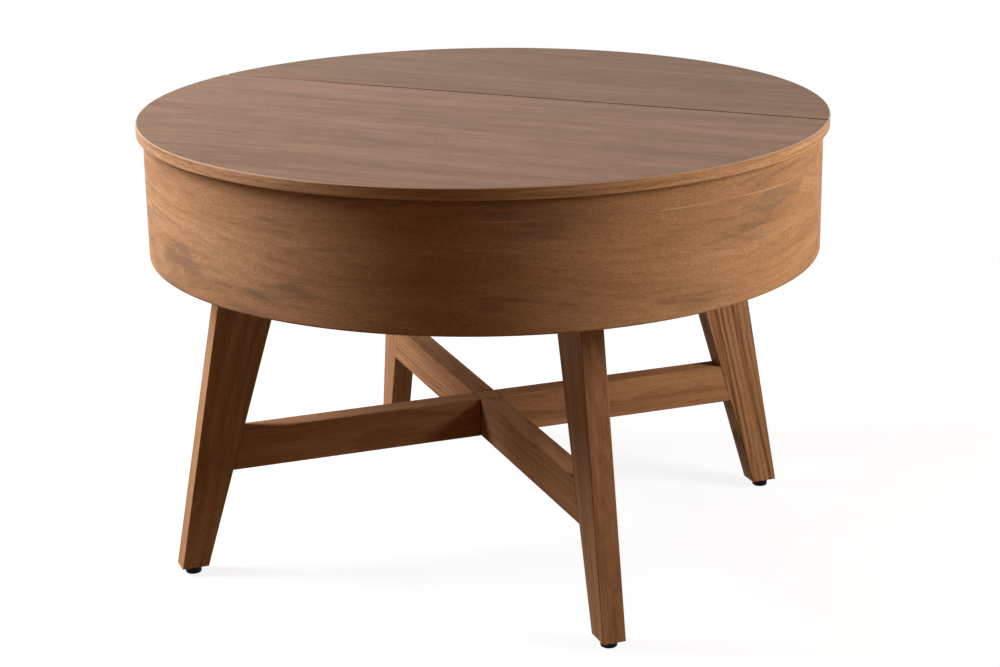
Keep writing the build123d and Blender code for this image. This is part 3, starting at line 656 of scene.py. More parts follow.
@dataclass(frozen=True, kw_only=True)
class WrappedVeneer(PlainWood):
    """Veneer round the drum, with the joint where its ends meet and one pale growth line.

    Attributes:
        joint: Half width of the dark joint line.
        pale_height: Height of the pale line.
        pale_span: Angles back from the joint between which the pale line shows.
        pale_tone: Colour of the pale line.
    """

    joint: float
    pale_height: float
    pale_span: Pair = (14.0, 78.0)
    pale_tone: Colour = (0.56, 0.34, 0.19)

    DRIFT = Layer((0.45, 0.30), 31.0)
    BREAK = Layer((0.10, 0.3), 33.0, 2.0)

    # How far the line drifts, its width and strength, which noise heights break it, and its ends' softness.
    DRIFT_REACH = 0.02
    LINE = (0.2 * MM, 1.0 * MM, 0.6, 0.0)
    BREAKS = (-0.06, 0.10)
    SOFT_END = 0.1

    def coat(self, space: Field) -> Coat:
        """Colour, roughness and relief, with the joint and the pale line.

        Args:
            space: Distances round, up and out.

        Returns:
            The coat.
        """
        coat = self.wood.coat(space)
        around, height, _ = space.parts()
        level = self.wood.pile(space, height, (self.DRIFT, self.DRIFT_REACH))
        line = abs(level - self.pale_height).remap(*self.LINE)
        broken = self.wood.read(space, self.BREAK).remap(*self.BREAKS)
        radius = self.grain.radius
        end = math.pi * radius
        near, far = (end - math.radians(angle) * radius for angle in self.pale_span)
        soft = self.SOFT_END * radius
        span = around.remap(far - soft, far + soft) * around.remap(near - soft, near, 1.0, 0.0)
        colour = (line * broken * span).blend(coat.colour, self.pale_tone)
        seam = (end - abs(around)).remap(0.4 * self.joint, self.joint, 0.8, 0.0)
        return replace(coat, colour=seam.blend(colour, self.wood.dark))


@dataclass(frozen=True)
class BareMetal:
    """Plated or bare metal with fine texture.

    Attributes:
        name: Material name.
        colour: The metal's colour.
        stain: Colour of its cloudy plating.
        roughness: Mean roughness.
    """

    name: str
    colour: Colour
    stain: Colour
    roughness: float

    CLOUD = (160.0, 3.0, 0.6)
    CLOUDY = (0.35, 0.7)
    FINE = (700.0, 3.0, 0.6)
    FINE_ROUGHNESS = 0.18
    RELIEF = (0.15, 0.00005)

    def material(self) -> bpy.types.Material:
        """Build the finish.

        Returns:
            The finished material.
        """
        graph = Graph(self.name)
        colour = graph.texture(*self.CLOUD).remap(*self.CLOUDY).blend(self.colour, self.stain)
        fine = graph.texture(*self.FINE)
        roughness = fine * self.FINE_ROUGHNESS + (self.roughness - self.FINE_ROUGHNESS / 2)
        return graph.surface(Coat(colour, roughness, fine), self.RELIEF, Metallic=1.0)


@dataclass(frozen=True)
class Polymer:
    """Moulded plastic or rubber, with paler scuffs.

    Attributes:
        name: Material name.
        colour: The material's colour.
        roughness: Mean roughness.
        mirror: Specular level.
    """

    name: str
    colour: Colour
    roughness: float
    mirror: float = 0.35

    SPARK = (1200.0, 2.0, 0.5)
    SCUFF = (90.0, 4.0, 0.7)
    SCUFFED = (0.5, 0.8)
    SCUFF_TONE = (1.8, 0.004)
    DULLED = (0.3, 0.8)
    ROUGHER = (-0.06, 0.08)
    RELIEF = (0.2, 0.00006)

    def material(self) -> bpy.types.Material:
        """Build the finish.

        Returns:
            The finished material.
        """
        graph = Graph(self.name)
        scuff = graph.texture(*self.SCUFF)
        colour = scuff.remap(*self.SCUFFED).blend(self.colour, scaled(self.colour, *self.SCUFF_TONE))
        roughness = scuff.remap(*self.DULLED, *(self.roughness + step for step in self.ROUGHER))
        coat = Coat(colour, roughness, graph.texture(*self.SPARK))
        return graph.surface(coat, self.RELIEF, Specular_IOR_Level=self.mirror)


@dataclass(frozen=True)
class Paint(Polymer):
    """Powder coat with fine orange peel, and paler where dust settled in it."""

    mirror: float = 0.5

    SPARK = (900.0, 2.0, 0.5)
    SCUFF = (35.0, 3.0, 0.6)
    SCUFFED = (0.4, 0.75)
    SCUFF_TONE = (1.6,)
    DULLED = (0.2, 0.8)
    ROUGHER = (-0.06, 0.06)
    RELIEF = (0.25, 0.00008)


def paint_node(node: str, material: bpy.types.Material) -> None:
    """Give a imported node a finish.

    Args:
        node: The node's name.
        material: Its new material.
    """
    for slot in frame["nodes"][node].material_slots:
        slot.material = material
    log.info("dressed %s in %s", node, material.name)


# ---- Mesh helpers


def islands(node: str) -> list[tuple[Vector, Vector]]:
    """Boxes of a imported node's separate solids.

    Args:
        node: The node's name.

    Returns:
        Lowest and highest corner of each solid.
    """
    source = bmesh.new()
    source.from_mesh(frame["nodes"][node].data)
    bmesh.ops.remove_doubles(source, verts=source.verts, dist=1e-6)
    left = set(source.verts)
    boxes = []
    while left:
        stack = [left.pop()]
        group = list(stack)
        while stack:
            near = {vertex for edge in stack.pop().link_edges for vertex in edge.verts} & left
            left -= near
            stack.extend(near)
            group.extend(near)
        boxes.append(tuple(Vector([pick(v.co[i] for v in group) for i in range(3)]) for pick in (min, max)))
    source.free()
    return sorted(boxes, key=lambda box: tuple(round(c, 5) for c in box[0]))


def skin(source: bmesh.types.BMesh, rows: Sequence[Sequence[Vector]], closed: bool = True) -> None:
    """Join rows of points with faces.

    Args:
        source: The shape to add to.
        rows: Each row's points.
        closed: Whether the rows are rings, with a cap on the first and the last.
    """
    rings = [[source.verts.new(spot) for spot in row] for row in rows]
    for first, second in zip(rings, rings[1:]):
        for index in range(-1 if closed else 0, len(first) - 1):
            source.faces.new((first[index], second[index], second[index + 1], first[index + 1]))
    if closed:
        source.faces.new(rings[0])
        source.faces.new(tuple(reversed(rings[-1])))


def put(name: str, data: bpy.types.ID) -> bpy.types.Object:
    """Put a mesh, a lamp or a camera in the scene.

    Args:
        name: The object's name.
        data: Its data.

    Returns:
        The object.
    """
    made = bpy.data.objects.new(name, data)
    bpy.context.scene.collection.objects.link(made)
    return made


def new_piece(
    name: str, source: bmesh.types.BMesh, material: bpy.types.Material, sharp: float = 35.0
) -> bpy.types.Object:
    """Turn a shape into a piece, shaded smooth apart from its sharp edges.

    Args:
        name: The piece's name.
        source: Its shape, which is freed.
        material: Its finish.
        sharp: Angle above which an edge stays sharp.

    Returns:
        The piece.
    """
    bmesh.ops.recalc_face_normals(source, faces=source.faces)
    mesh = bpy.data.meshes.new(name)
    source.to_mesh(mesh)
    source.free()
    mesh.shade_smooth()
    mesh.set_sharp_from_angle(angle=math.radians(sharp))
    mesh.materials.append(material)
    log.info("modelled %s", name)
    return put(name, mesh)


# ---- Round top


@dataclass
class RoundTop:
    """The two walnut veneered panels and the rubber dots that the lifting one rests on."""

    lift_node: str = "lift_top_panel"
    fixed_node: str = "fixed_top_panel"
    bumper_node: str = "rim_bumpers"
    strip: float = 0.9 * MM
    ease: float = 2.0 * MM
    mirror: float = 0.020
    # The face is the drum's walnut painted darker and greyer: painted shade, which dims the top that the high
    # lamps light strongly, and painted sheen, the grey of the lacquer's reflection.
    face: Walnut = Walnut(
        dark=(0.130, 0.075, 0.046),
        middle=(0.200, 0.117, 0.070),
        light=(0.285, 0.166, 0.096),
        streak=(0.38, 0.021),
        streak_gain=0.65,
        fleck=(0.045, 0.0065),
        fleck_gain=0.5,
        fibre_gain=0.5,
        speckle_gain=0.35,
        sway=0.035,
        ring_gain=0.03,
        pore_depth=0.45,
        gloss=0.40,
    )
    band: Walnut = Walnut(streak=(0.15, 0.004), fleck=(0.018, 0.0013), fleck_gain=0.5, sway=0.006, seed=71.0)

    def dress(self) -> None:
        """Give each panel its veneer, the edge strip included, and the dots their rubber."""
        lift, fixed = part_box(self.lift_node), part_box(self.fixed_node)
        sizes = {"radius": lift[1].x, "top": lift[1].z, "strip": self.strip, "ease": self.ease}
        # The fixed panel's tone of 0.91 is painted shade, which makes the rear of the top darker than the
        # front.
        panels = ((self.lift_node, 2.0, 1.0, lift[1].y), (self.fixed_node, 41.0, 0.91, fixed[0].y))
        for node, seed, tone, seam in panels:
            look = (node + "_veneer", replace(self.face, seed=seed).toned(tone), BoardGrain(), self.mirror)
            paint_node(node, BandedPanel(*look, band=self.band, seam=seam, **sizes).material())
        paint_node(self.bumper_node, Polymer("bumper_rubber", (0.055, 0.055, 0.055), 0.62).material())


# ---- Drum case


@dataclass
class DrumCase:
    """The veneered drum with its floor, partitions, rail, cleats and dowels."""

    wall_node: str = "drum_wall"
    joint_azimuth: float = 9.0
    joint: float = 0.35 * MM
    pale_line_drop: float = 25.0 * MM
    mirror: float = 0.004
    veneer: Walnut = Walnut(
        streak=(0.30, 0.032),
        streak_gain=0.42,
        fleck=(0.02, 0.0030),
        fleck_gain=0.18,
        fibre_gain=0.10,
        speckle_gain=0.38,
        sway=0.08,
        ring_spacing=0.018,
        ring_gain=0.06,
        smudge=0.6,
        seed=5.0,
    )
    board: Walnut = Walnut(
        dark=(0.22, 0.125, 0.068),
        middle=(0.33, 0.20, 0.115),
        light=(0.43, 0.28, 0.17),
        streak=(0.5, 0.016),
        gloss=0.52,
    )
    beech: Walnut = Walnut((0.55, 0.36, 0.20), (0.68, 0.49, 0.31), (0.76, 0.60, 0.42), gloss=0.6)

    def dress(self) -> None:
        """Wrap the drum, and give the boards inside it and their dowels their wood."""
        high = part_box(self.wall_node)[1]
        look = ("drum_veneer", self.veneer, WrappedGrain(high.x, self.joint_azimuth), self.mirror)
        veneer = WrappedVeneer(*look, joint=self.joint, pale_height=high.z - self.pale_line_drop)
        paint_node(self.wall_node, veneer.material())
        side = BoardGrain(along=(0.0, 1.0, 0.0), across=(0.0, 0.0, 1.0), depth=(1.0, 0.0, 0.0))
        upright = BoardGrain(across=(0.0, 0.0, 1.0), depth=(0.0, 1.0, 0.0))
        boards = (
            ("right_partition", side, 60.0),
            ("left_partition", side, 69.0),
            ("seam_rail", upright, 78.0),
            ("top_cleats", upright, 87.0),
            ("drum_floor", BoardGrain(), 96.0),
        )
        for node, grain, seed in boards:
            paint_node(node, PlainWood(node + "_board", replace(self.board, seed=seed), grain).material())
        paint_node("rail_dowels", PlainWood("beech_dowel", self.beech, upright).material())


# ---- Legs and stretchers

SOLID_WALNUT = Walnut(
    dark=(0.160, 0.069, 0.028),
    middle=(0.318, 0.150, 0.067),
    light=(0.445, 0.230, 0.106),
    cut=Cut.FLAT_SAWN,
    fleck=(0.03, 0.0016),
    sway=0.008,
)


@dataclass(frozen=True)
class Board:
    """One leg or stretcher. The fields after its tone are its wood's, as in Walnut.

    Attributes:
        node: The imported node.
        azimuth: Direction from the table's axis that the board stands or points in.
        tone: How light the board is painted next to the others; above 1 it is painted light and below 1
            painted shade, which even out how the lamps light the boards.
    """

    node: str
    azimuth: float
    tone: float
    seed: float
    pith: Pair
    ring_spacing: float = 0.0065
    ring_gain: float = 0.12
    streak: Pair = (0.40, 0.012)
    streak_gain: float = 0.5

    def wood(self) -> Walnut:
        """The board's own solid walnut."""
        own = {key: part for key, part in vars(self).items() if key not in ("node", "azimuth", "tone")}
        return replace(SOLID_WALNUT, **own).toned(self.tone)

    def reach(self) -> tuple[Vector, float, float]:
        """Direction that the board stands or points in, and the heights of its lower and upper end."""
        low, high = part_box(self.node)
        return polar(1.0, math.radians(self.azimuth)), low.z, high.z


@dataclass
class LegFrame:
    """The splayed legs, the half lapped stretchers, and the glides and pins in them."""

    # The legs' tones away from 1 are painted light above 1 and painted shade below 1, which even out how the
    # lamps light them.
    legs: tuple[Board, ...] = (
        Board("leg_front_left", 225.0, 1.06, 13.0, (0.02, 0.09), 0.005, 0.10),
        Board("leg_front_right", 315.0, 1.0, 23.0, (0.09, 0.03), 0.007, 0.05, (0.6, 0.007), 0.6),
        Board("leg_rear_right", 45.0, 0.96, 31.0, (0.30, 0.006), 0.0075, 0.45, (1.2, 0.006), 1.6),
        Board("leg_rear_left", 135.0, 1.0, 37.0, (0.03, 0.08), 0.006, 0.10),
    )
    # The stretchers' tone of 1.14 is painted light, in place of their sheen and of light that the lamps give
    # them too little of.
    stretchers: tuple[Board, ...] = (
        Board("stretcher_lapped_below", 45.0, 1.14, 43.0, (0.03, 0.09)),
        Board("stretcher_lapped_above", 315.0, 1.14, 53.0, (0.08, 0.03)),
    )
    half_lap: float = 13.0 * MM
    leg_mirror: float = 0.008
    stretcher_mirror: float = 0.0006

    def leg_grain(self, leg: Board) -> BoardGrain:
        """Directions of a leg's figure, which follows the middle of its taper.

        Args:
            leg: The leg.

        Returns:
            The grain.
        """
        out, *levels = leg.reach()
        vertices = frame["nodes"][leg.node].data.vertices
        ends = []
        for level in levels:
            near = [vertex.co.dot(out) for vertex in vertices if abs(vertex.co.z - level) < 2 * MM]
            ends.append(out * ((min(near) + max(near)) / 2) + level * UP)
        along = (ends[1] - ends[0]).normalized()
        depth = out.cross(UP)
        return BoardGrain(tuple(along), tuple(depth.cross(along)), tuple(depth), tuple(ends[0]))

    def stretcher_grain(self, stretcher: Board) -> BoardGrain:
        """Directions of a stretcher's figure, which runs its whole length."""
        out, low, high = stretcher.reach()
        return BoardGrain(tuple(out), tuple(UP), tuple(out.cross(UP)), (0.0, 0.0, (low + high) / 2))

    def dress(self) -> None:
        """Give each board, glide and pin its finish."""
        for leg in self.legs:
            finish = PlainWood(leg.node + "_walnut", leg.wood(), self.leg_grain(leg), self.leg_mirror)
            paint_node(leg.node, finish.material())
        for board in self.stretchers:
            look = (board.node + "_walnut", board.wood(), self.stretcher_grain(board), self.stretcher_mirror)
            paint_node(board.node, LappedWood(*look, half_lap=self.half_lap).material())
        paint_node("foot_glides", Polymer("glide_plastic", (0.004, 0.004, 0.004), 0.45, 0.08).material())
        pin = BareMetal("pin_steel", (0.05, 0.045, 0.042), (0.03, 0.026, 0.024), 0.5)
        paint_node("tenon_pins", pin.material())


# ---- Turned fasteners


@dataclass(frozen=True)
class Thread:
    """A helical ridge round a shank, in millimetres.

    Attributes:
        start: Distance along the fastener where the thread starts.
        end: Distance along the fastener where it ends.
        core: Radius at the thread's root.
        crest: Radius at the thread's crest.
        pitch: Advance in one turn.
    """

    start: float
    end: float
    core: float
    crest: float
    pitch: float

    # Half the ridge's width at its root and at its crest, in pitches.
    ROOT = 0.45
    CREST = 0.06

    def add(self, source: bmesh.types.BMesh, place: Matrix) -> None:
        """Add the ridge to a shape.

        Args:
            source: The shape to add to.
            place: The fastener's place.
        """
        around = 24
        root, crest = self.ROOT * self.pitch, self.CREST * self.pitch
        profile = ((self.core, -root), (self.crest, -crest), (self.crest, crest), (self.core, root))
        steps = int((self.end - self.start - self.pitch) / self.pitch * around)
        rows = []
        for step in range(steps + 1):
            turn = FULL_TURN * step / around
            level = self.start + self.pitch * (0.5 + step / around)
            rows.append([place @ polar(radius, turn, level + shift) for radius, shift in profile])
        skin(source, rows, closed=False)


@dataclass(frozen=True)
class Turned:
    """A fastener turned about its own axis, in millimetres from the middle of its head's end.

    Attributes:
        outline: Radius and distance along the axis of each edge, from the head's rim to the tip.
        crown: How far the head's middle stands above its rim.
        drive: Shape of the head's recess.
        reach: Radius of the recess.
        deep: Depth of the recess.
        thread: The thread, if any.
    """

    outline: tuple[Pair, ...]
    crown: float = 0.0
    drive: Drive = Drive.NONE
    reach: float = 0.0
    deep: float = 0.0
    thread: Union[Thread, None] = None

    AROUND = 48
    CROWN_RINGS = (0.2, 0.4, 0.6, 0.8)
    CROSS_WIDTH = 0.27
    CROSS_TAPER = 0.55
    HEXAGON_TAPER = 0.97
    CLEARANCE = 1.05

    def recess(self, turn: float) -> float:
        """Radius of the recess's wall.

        Args:
            turn: Direction from the head's middle, in radians.

        Returns:
            The radius.
        """
        sides = 6 if self.drive is Drive.HEXAGON else 4
        part = FULL_TURN / sides
        if self.drive is Drive.HEXAGON:
            return self.reach * math.cos(part / 2.0) / math.cos(turn % part - part / 2.0)
        lean = abs((turn + part / 2.0) % part - part / 2.0)
        return min(self.reach / math.cos(lean), self.CROSS_WIDTH * self.reach / max(math.sin(lean), 1e-6))

    def head(self, turns: Sequence[float]) -> list[list[Vector]]:
        """Rings of the head's end, from its middle outwards.

        Args:
            turns: Directions of each ring's points.

        Returns:
            The rings' points.
        """
        rim = self.outline[0][0]
        rings = []
        if self.drive is not Drive.NONE:
            taper = self.CROSS_TAPER if self.drive is Drive.CROSS else self.HEXAGON_TAPER
            lip = self.crown * (self.reach / rim) ** 2
            for share, level in ((taper, self.crown + self.deep), (1.0, lip)):
                rings.append([polar(share * self.recess(turn), turn, level) for turn in turns])
        for share in self.CROWN_RINGS:
            if share * rim > self.CLEARANCE * self.reach:
                rings.append([polar(share * rim, turn, self.crown * share**2) for turn in turns])
        return rings

    def add(self, source: bmesh.types.BMesh, place: Matrix) -> None:
        """Add the fastener to a shape.

        Args:
            source: The shape to add to.
            place: Its place: the origin is the middle of its head's end and +Z runs to its tip.
        """
        turns = [FULL_TURN * index / self.AROUND for index in range(self.AROUND)]
        sides = [[polar(radius, turn, level) for turn in turns] for radius, level in self.outline]
        skin(source, [[place @ spot for spot in ring] for ring in self.head(turns) + sides])
        if self.thread:
            self.thread.add(source, place)


@dataclass(frozen=True)
class FastenerSet:
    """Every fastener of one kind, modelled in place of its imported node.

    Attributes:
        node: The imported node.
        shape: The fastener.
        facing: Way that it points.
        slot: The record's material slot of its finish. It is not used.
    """

    node: str
    shape: Turned
    facing: Facing
    slot: str = "zinc_plated_steel"

    TWIST = 37.0

    def place(self, low: Vector, high: Vector, index: int) -> Matrix:
        """Where one fastener goes, from its own millimetres.

        Args:
            low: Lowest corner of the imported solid.
            high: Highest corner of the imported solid.
            index: Number of the fastener, which sets how far it is turned.

        Returns:
            Its place.
        """
        middle = (low + high) / 2
        outward = Vector((math.copysign(1.0, middle.x), 0.0, 0.0))
        ways = {Facing.OUTWARD: outward, Facing.INWARD: -outward, Facing.UP: UP, Facing.DOWN: -UP}
        axis = ways[self.facing]
        half = abs((high - low).dot(axis)) / 2
        twist = Matrix.Rotation(math.radians(self.TWIST * index), 3, "Z")
        turn = MM * (axis.to_track_quat("Z", "Y").to_matrix() @ twist)
        return Matrix.Translation(middle - axis * half) @ turn.to_4x4()

    def build(self, material: bpy.types.Material) -> None:
        """Model the set.

        Args:
            material: Its finish.
        """
        source = bmesh.new()
        for index, (low, high) in enumerate(islands(self.node)):
            self.shape.add(source, self.place(low, high, index))
        piece = new_piece(self.node + "_turned", source, material)
        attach(piece, body_of(frame["nodes"][self.node])[0])
        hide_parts(self.node)


@dataclass
class Fasteners:
    """Screws, bolts, rivets and pins, with the washers, studs, sleeves and inserts beside them.

    The fasteners' sizes are in millimetres.
    """

    rim: float = 4.0
    head: float = 2.2
    crest: float = 2.0
    core: float = 1.4
    pitch: float = 1.8
    point: float = 3.0

    def wood_screw(self, length: float, shank: float, pan: bool = False) -> Turned:
        """Cross recess wood screw.

        Args:
            length: Length, the head included.
            shank: Distance from the head's end to where the thread starts.
            pan: Whether the head is a pan rather than countersunk.

        Returns:
            The screw.
        """
        rim, head, core = self.rim, self.head, self.core
        pan_head = ((0.93 * rim, 0.35), (rim, 0.9), (rim, head - 0.2), (0.97 * rim, head))
        sunk_head = ((rim, 0.0), (rim, 0.25), (self.crest, head))
        neck = ((core + 0.3, head + 0.2), (core + 0.3, shank), (core, shank + 0.5))
        outline = (pan_head if pan else sunk_head) + neck + ((core, length - self.point), (0.2, length))
        thread = Thread(shank, length - 0.6 * self.point, 0.9 * core, self.crest, self.pitch)
        return Turned(outline, 0.35 if pan else 0.0, Drive.CROSS, 2.1, 1.4, thread)

    def leg_bolt(self) -> Turned:
        """Button head bolt with a hexagon socket.

        Returns:
            The bolt.
        """
        head = ((5.2, 0.9), (5.8, 1.7), (6.0, 2.6), (5.9, 3.5))
        shank = ((3.0, 3.55), (3.0, 12.0), (2.45, 12.4), (2.45, 32.2), (2.0, 33.0))
        return Turned(head + shank, 0.9, Drive.HEXAGON, 2.3, 1.7, Thread(12.2, 32.6, 2.35, 3.0, 1.0))

    def rivet(self) -> Turned:
        """Domed pivot rivet with a bearing shoulder and a narrower neck."""
        dome = ((6.3, 1.1), (6.9, 1.6), (7.0, 2.0))
        return Turned(dome + ((4.0, 2.02), (4.0, 6.1), (3.0, 6.12), (3.0, 8.3), (2.7, 8.6)), 1.1)

    def spring_pin(self, length: float) -> Turned:
        """Pin of a length with a flat head."""
        head = ((4.2, 0.15), (4.5, 0.45), (4.5, 1.35), (4.3, 1.5))
        return Turned(head + ((3.0, 1.52), (3.0, length - 0.4), (2.6, length)), 0.15)

    def sets(self) -> tuple[FastenerSet, ...]:
        """Every kind of fastener.

        Returns:
            The sets.
        """
        return (
            FastenerSet("side_bracket_screws", self.wood_screw(14.0, 3.4), Facing.OUTWARD),
            FastenerSet("top_bracket_screws", self.wood_screw(13.2, 4.9, True), Facing.UP),
            FastenerSet("top_cleat_screws", self.wood_screw(28.0, 12.0), Facing.UP),
            FastenerSet("case_screws", self.wood_screw(35.0, 14.0), Facing.UP),
            FastenerSet("leg_bolts", self.leg_bolt(), Facing.DOWN),
            FastenerSet("lower_pivot_rivets", self.rivet(), Facing.OUTWARD),
            FastenerSet("upper_pivot_rivets", self.rivet(), Facing.INWARD),
            FastenerSet("spring_anchor_pins", self.spring_pin(23.55), Facing.OUTWARD),
            FastenerSet("spring_lug_pins", self.spring_pin(20.0), Facing.OUTWARD),
        )

    def dress(self) -> None:
        """Model the turned fasteners and finish the plain ones."""
        zinc = BareMetal("zinc_plate", (0.62, 0.63, 0.66), (0.50, 0.51, 0.55), 0.34).material()
        for kind in self.sets():
            kind.build(zinc)
        for node in ("leg_bolt_washers", "lower_pivot_washers", "upper_pivot_washers", "stop_studs"):
            paint_node(node, zinc)
        brass = BareMetal("brass", (0.72, 0.52, 0.24), (0.60, 0.42, 0.19), 0.38)
        paint_node("leg_inserts", brass.material())
        paint_node("stop_sleeves", Polymer("stop_rubber", (0.02, 0.02, 0.02), 0.6).material())


# ---- Lift hinges and springs


@dataclass
class LiftHinges:
    """Powder coated brackets, arms and cross bar of the two parallelogram hinges."""

    nodes: tuple[str, ...] = ("side_bracket", "rear_arm", "front_arm", "top_bracket")
    bar_node: str = "cross_bar"
    coat: Colour = (0.013, 0.013, 0.014)
    roughness: float = 0.42

    def dress(self) -> None:
        """Powder coat every pressed part of both hinges."""
        black = Paint("black_powder_coat", self.coat, self.roughness).material()
        for node in (*(f"{side}_{node}" for side in ("right", "left") for node in self.nodes), self.bar_node):
            paint_node(node, black)


@dataclass
class AssistSprings:
    """The two coiled extension springs that help the top up.

    Each spring runs from its anchor pin to its lug pin, whose places are along Y and Z, and keeps a share
    of its run when the top is open. Its wire and eyes are drawn out along the run at rest, so that they
    keep their shape when the spring is short.
    """

    offset: float = 212.95 * MM
    anchor: Pair = (-14.427 * MM, 386.162 * MM)
    lug: Pair = (-181.384 * MM, 381.024 * MM)
    keep: float = 0.7165
    wire: float = 1.1 * MM
    coil: float = 5.9 * MM
    eye: float = 4.15 * MM
    hook: float = 16.0 * MM
    bend: float = 1.5 * MM
    turns: int = 31
    eye_start: float = 30.0
    eye_sweep: float = 315.0
    swell: float = 2.2
    sharp: float = 60.0

    def path(self) -> list[Vector]:
        """Middle line of the wire.

        Returns:
            Distances out, across the run and along it from the anchor.
        """
        run = math.dist(self.anchor, self.lug)
        around = 28
        first = []
        for step in range(around - 1):
            turn = math.radians(self.eye_start + self.eye_sweep * step / (around - 2))
            first.append(Vector((0.0, self.eye * math.sin(turn), self.eye / self.keep * math.cos(turn))))
        neck = self.eye / self.keep + self.bend
        first += [share * (self.hook - self.bend - neck) * UP + neck * UP for share in (0.0, 0.5, 1.0)]
        coils = []
        steps = self.turns * around
        start = self.hook + self.wire
        for step in range(steps + 1):
            share = step / steps
            swell = min(1.0, self.swell * min(share, 1.0 - share) * self.turns)
            level = start + share * (run - 2.0 * start)
            coils.append(polar(self.coil * swell, FULL_TURN * step / around, level))
        return first + coils + [Vector((spot.x, spot.y, run - spot.z)) for spot in reversed(first)]

    def shape(self, side: float, anchor: Vector, lug: Vector) -> bmesh.types.BMesh:
        """Round wire along the path.

        Args:
            side: 1 for the right spring and -1 for the left.
            anchor: Where the anchor pin is.
            lug: Where the lug pin is.

        Returns:
            The shape.
        """
        drawn = 1.0 / math.sqrt(self.keep)
        points = [Vector((spot.x, spot.y, spot.z / drawn)) for spot in self.path()]
        along = (lug - anchor).normalized()
        out = Vector((side, 0.0, 0.0))
        place = Matrix((out, along.cross(out), drawn * along)).transposed()
        around = 10
        normal = Vector((1.0, 0.0, 0.0))
        rows = []
        for before, point, after in zip(points[:1] + points, points, points[1:] + points[-1:]):
            tangent = (after - before).normalized()
            normal = (normal - tangent * normal.dot(tangent)).normalized()
            ring = Matrix((normal, tangent.cross(normal), tangent)).transposed()
            turns = (FULL_TURN * step / around for step in range(around))
            rows.append([anchor + place @ (point + ring @ polar(self.wire, turn)) for turn in turns])
        source = bmesh.new()
        skin(source, rows)
        return source

    def build(self) -> None:
        """Model both springs, which follow their joints."""
        steel = BareMetal("spring_wire", (0.42, 0.42, 0.44), (0.30, 0.30, 0.32), 0.30).material()
        for label, side in (("right", 1.0), ("left", -1.0)):
            anchor, lug = (Vector((side * self.offset, *end)) for end in (self.anchor, self.lug))
            piece = new_piece(label + "_spring_wire", self.shape(side, anchor, lug), steel, self.sharp)
            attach(piece, label + "_spring")
            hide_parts(label + "_spring")
            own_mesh(piece)


# ---- Studio


@dataclass(frozen=True)
class Softbox:
    """A rectangular lamp that points at the table.

    Attributes:
        bearing: Direction from the table's axis, counted anticlockwise from the camera's.
        distance: Distance from that axis.
        height: Height of the lamp's middle.
        width: The lamp's width.
        tall: The lamp's height.
        power: The lamp's power in watts.
    """

    name: str
    bearing: float
    distance: float
    height: float
    width: float
    tall: float
    power: float
    tint: Colour = (1.0, 1.0, 1.0)


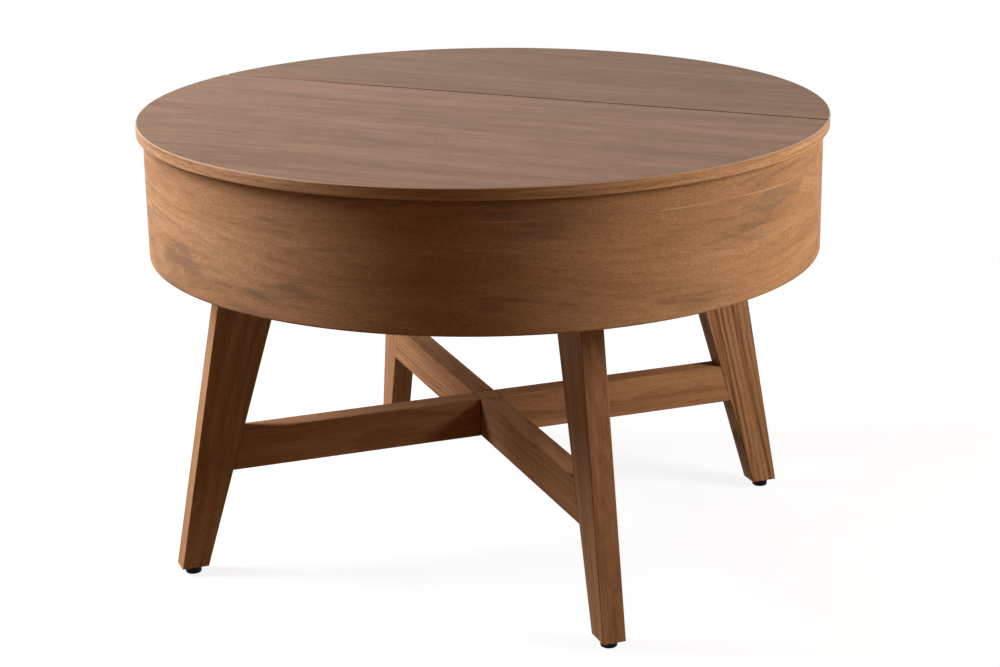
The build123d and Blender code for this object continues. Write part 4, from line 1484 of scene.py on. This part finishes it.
@dataclass
class Studio:
    """Pale floor, white surroundings, softboxes and the camera."""

    camera_azimuth: float = 24.917
    camera_distance: float = 2.5488
    camera_elevation: float = 17.373
    camera_pan: float = -0.347
    camera_tilt: float = 0.156
    camera_roll: float = 0.878
    target_height: float = 0.228
    lens: float = 80.468
    sensor: float = 36.0
    sight: float = 100.0
    floor_radius: float = 6.0
    floor_corners: int = 96
    fill: Colour = (0.147, 0.074, 0.030)
    floor_tone: Colour = (0.20, 0.20, 0.20)
    floor_bounce: Colour = (0.14, 0.10, 0.055)
    floor_glow: float = 0.86
    floor_fade: Pair = (0.7, 1.6)
    softboxes: tuple[Softbox, ...] = (
        Softbox("left_softbox", -96.0, 1.8, 1.35, 0.7, 0.9, 52.0, (0.92, 1.0, 1.18)),
        Softbox("left_high_softbox", -90.0, 1.3, 2.10, 0.8, 0.8, 24.0),
        Softbox("left_low_softbox", -84.0, 1.7, 0.20, 0.8, 0.35, 2.6),
        Softbox("right_softbox", 70.0, 1.3, 0.90, 0.45, 0.6, 13.0),
        Softbox("right_low_softbox", 80.0, 1.6, 0.22, 0.8, 0.35, 4.5),
        Softbox("rear_softbox", 180.0, 1.6, 0.30, 1.2, 0.5, 5.0),
    )
    aim_height: float = 0.35

    def add_camera(self) -> None:
        """Place the camera and make it the scene's."""
        data = bpy.data.cameras.new("camera")
        data.sensor_fit = "HORIZONTAL"
        data.sensor_width = self.sensor
        data.lens = self.lens
        data.clip_end = self.sight
        rise = self.camera_elevation
        turns = (
            (self.camera_azimuth, "Z"),
            (90.0 - rise, "X"),
            (self.camera_pan, "Y"),
            (self.camera_tilt, "X"),
            (-self.camera_roll, "Z"),
        )
        facing = Matrix.Identity(3)
        for angle, axis in turns:
            facing @= Matrix.Rotation(math.radians(angle), 3, axis)
        back = math.radians(self.camera_azimuth - 90.0), self.camera_distance * math.sin(math.radians(rise))
        stand = polar(self.camera_distance * math.cos(math.radians(rise)), *back) + self.target_height * UP
        camera = put("camera", data)
        camera.matrix_world = Matrix.Translation(stand) @ facing.to_4x4()
        bpy.context.scene.camera = camera

    def add_softbox(self, box: Softbox) -> None:
        """Place a lamp.

        Args:
            box: The lamp's sizes and place.
        """
        data = bpy.data.lights.new(box.name, "AREA")
        data.shape = "RECTANGLE"
        data.size, data.size_y = box.width, box.tall
        data.energy, data.color = box.power, box.tint
        lamp = put(box.name, data)
        azimuth = math.radians(self.camera_azimuth - 90.0 + box.bearing)
        lamp.location = polar(box.distance, azimuth, box.height)
        lamp.rotation_euler = (self.aim_height * UP - lamp.location).to_track_quat("-Z", "Y").to_euler()

    def background_rays(self, graph: Graph) -> Field:
        """Whether a ray shows the background: seen, mirrored or through glass.

        Args:
            graph: The material or world to add nodes to.

        Returns:
            1 for such a ray, and 0 for light on the object.
        """
        kinds = ("Camera", "Glossy", "Transmission")
        seen, mirrored, through = (graph.node("LightPath", output=f"Is {kind} Ray") for kind in kinds)
        return seen.larger(mirrored).larger(through)

    def add_world(self) -> None:
        """Surround the table with white that adds only a dim warm fill."""
        graph = Graph("studio", world=True)
        colour = self.background_rays(graph).blend(self.fill, (1.0, 1.0, 1.0))
        graph.node("OutputWorld", graph.node("Background", colour, 1.0))
        bpy.context.scene.world = graph.owner

    def add_floor(self) -> None:
        """Lay a pale round floor that keeps the table's shadow."""
        disc = bmesh.new()
        bmesh.ops.create_circle(disc, cap_ends=True, segments=self.floor_corners, radius=self.floor_radius)
        graph = Graph("floor_paper")
        diffuse = graph.node("BsdfDiffuse", self.floor_tone)
        lit = graph.node("AddShader", diffuse, graph.node("Emission", Strength=self.floor_glow))
        away = graph.node("VectorMath", graph.place(), output=1, operation="LENGTH")
        white = graph.node("Emission", Strength=1.0)
        paper = graph.node("MixShader", away.remap(*self.floor_fade), lit, white)
        bounce = graph.node("BsdfDiffuse", self.floor_bounce)
        graph.node("OutputMaterial", graph.node("MixShader", self.background_rays(graph), bounce, paper))
        floor = new_piece("floor", disc, graph.owner)

    def build(self) -> None:
        """Set up the whole studio."""
        self.add_camera()
        self.add_world()
        self.add_floor()
        for box in self.softboxes:
            self.add_softbox(box)
        bpy.context.scene.view_settings.view_transform = "Standard"


def main() -> None:
    """Build and dress every part of the table, and set up the studio round it."""
    logging.basicConfig(level=logging.INFO, format="%(name)s: %(message)s")
    RoundTop().dress()
    DrumCase().dress()
    LegFrame().dress()
    LiftHinges().dress()
    Fasteners().dress()
    AssistSprings().build()
    Studio().build()


if __name__ == "__main__":
    main()
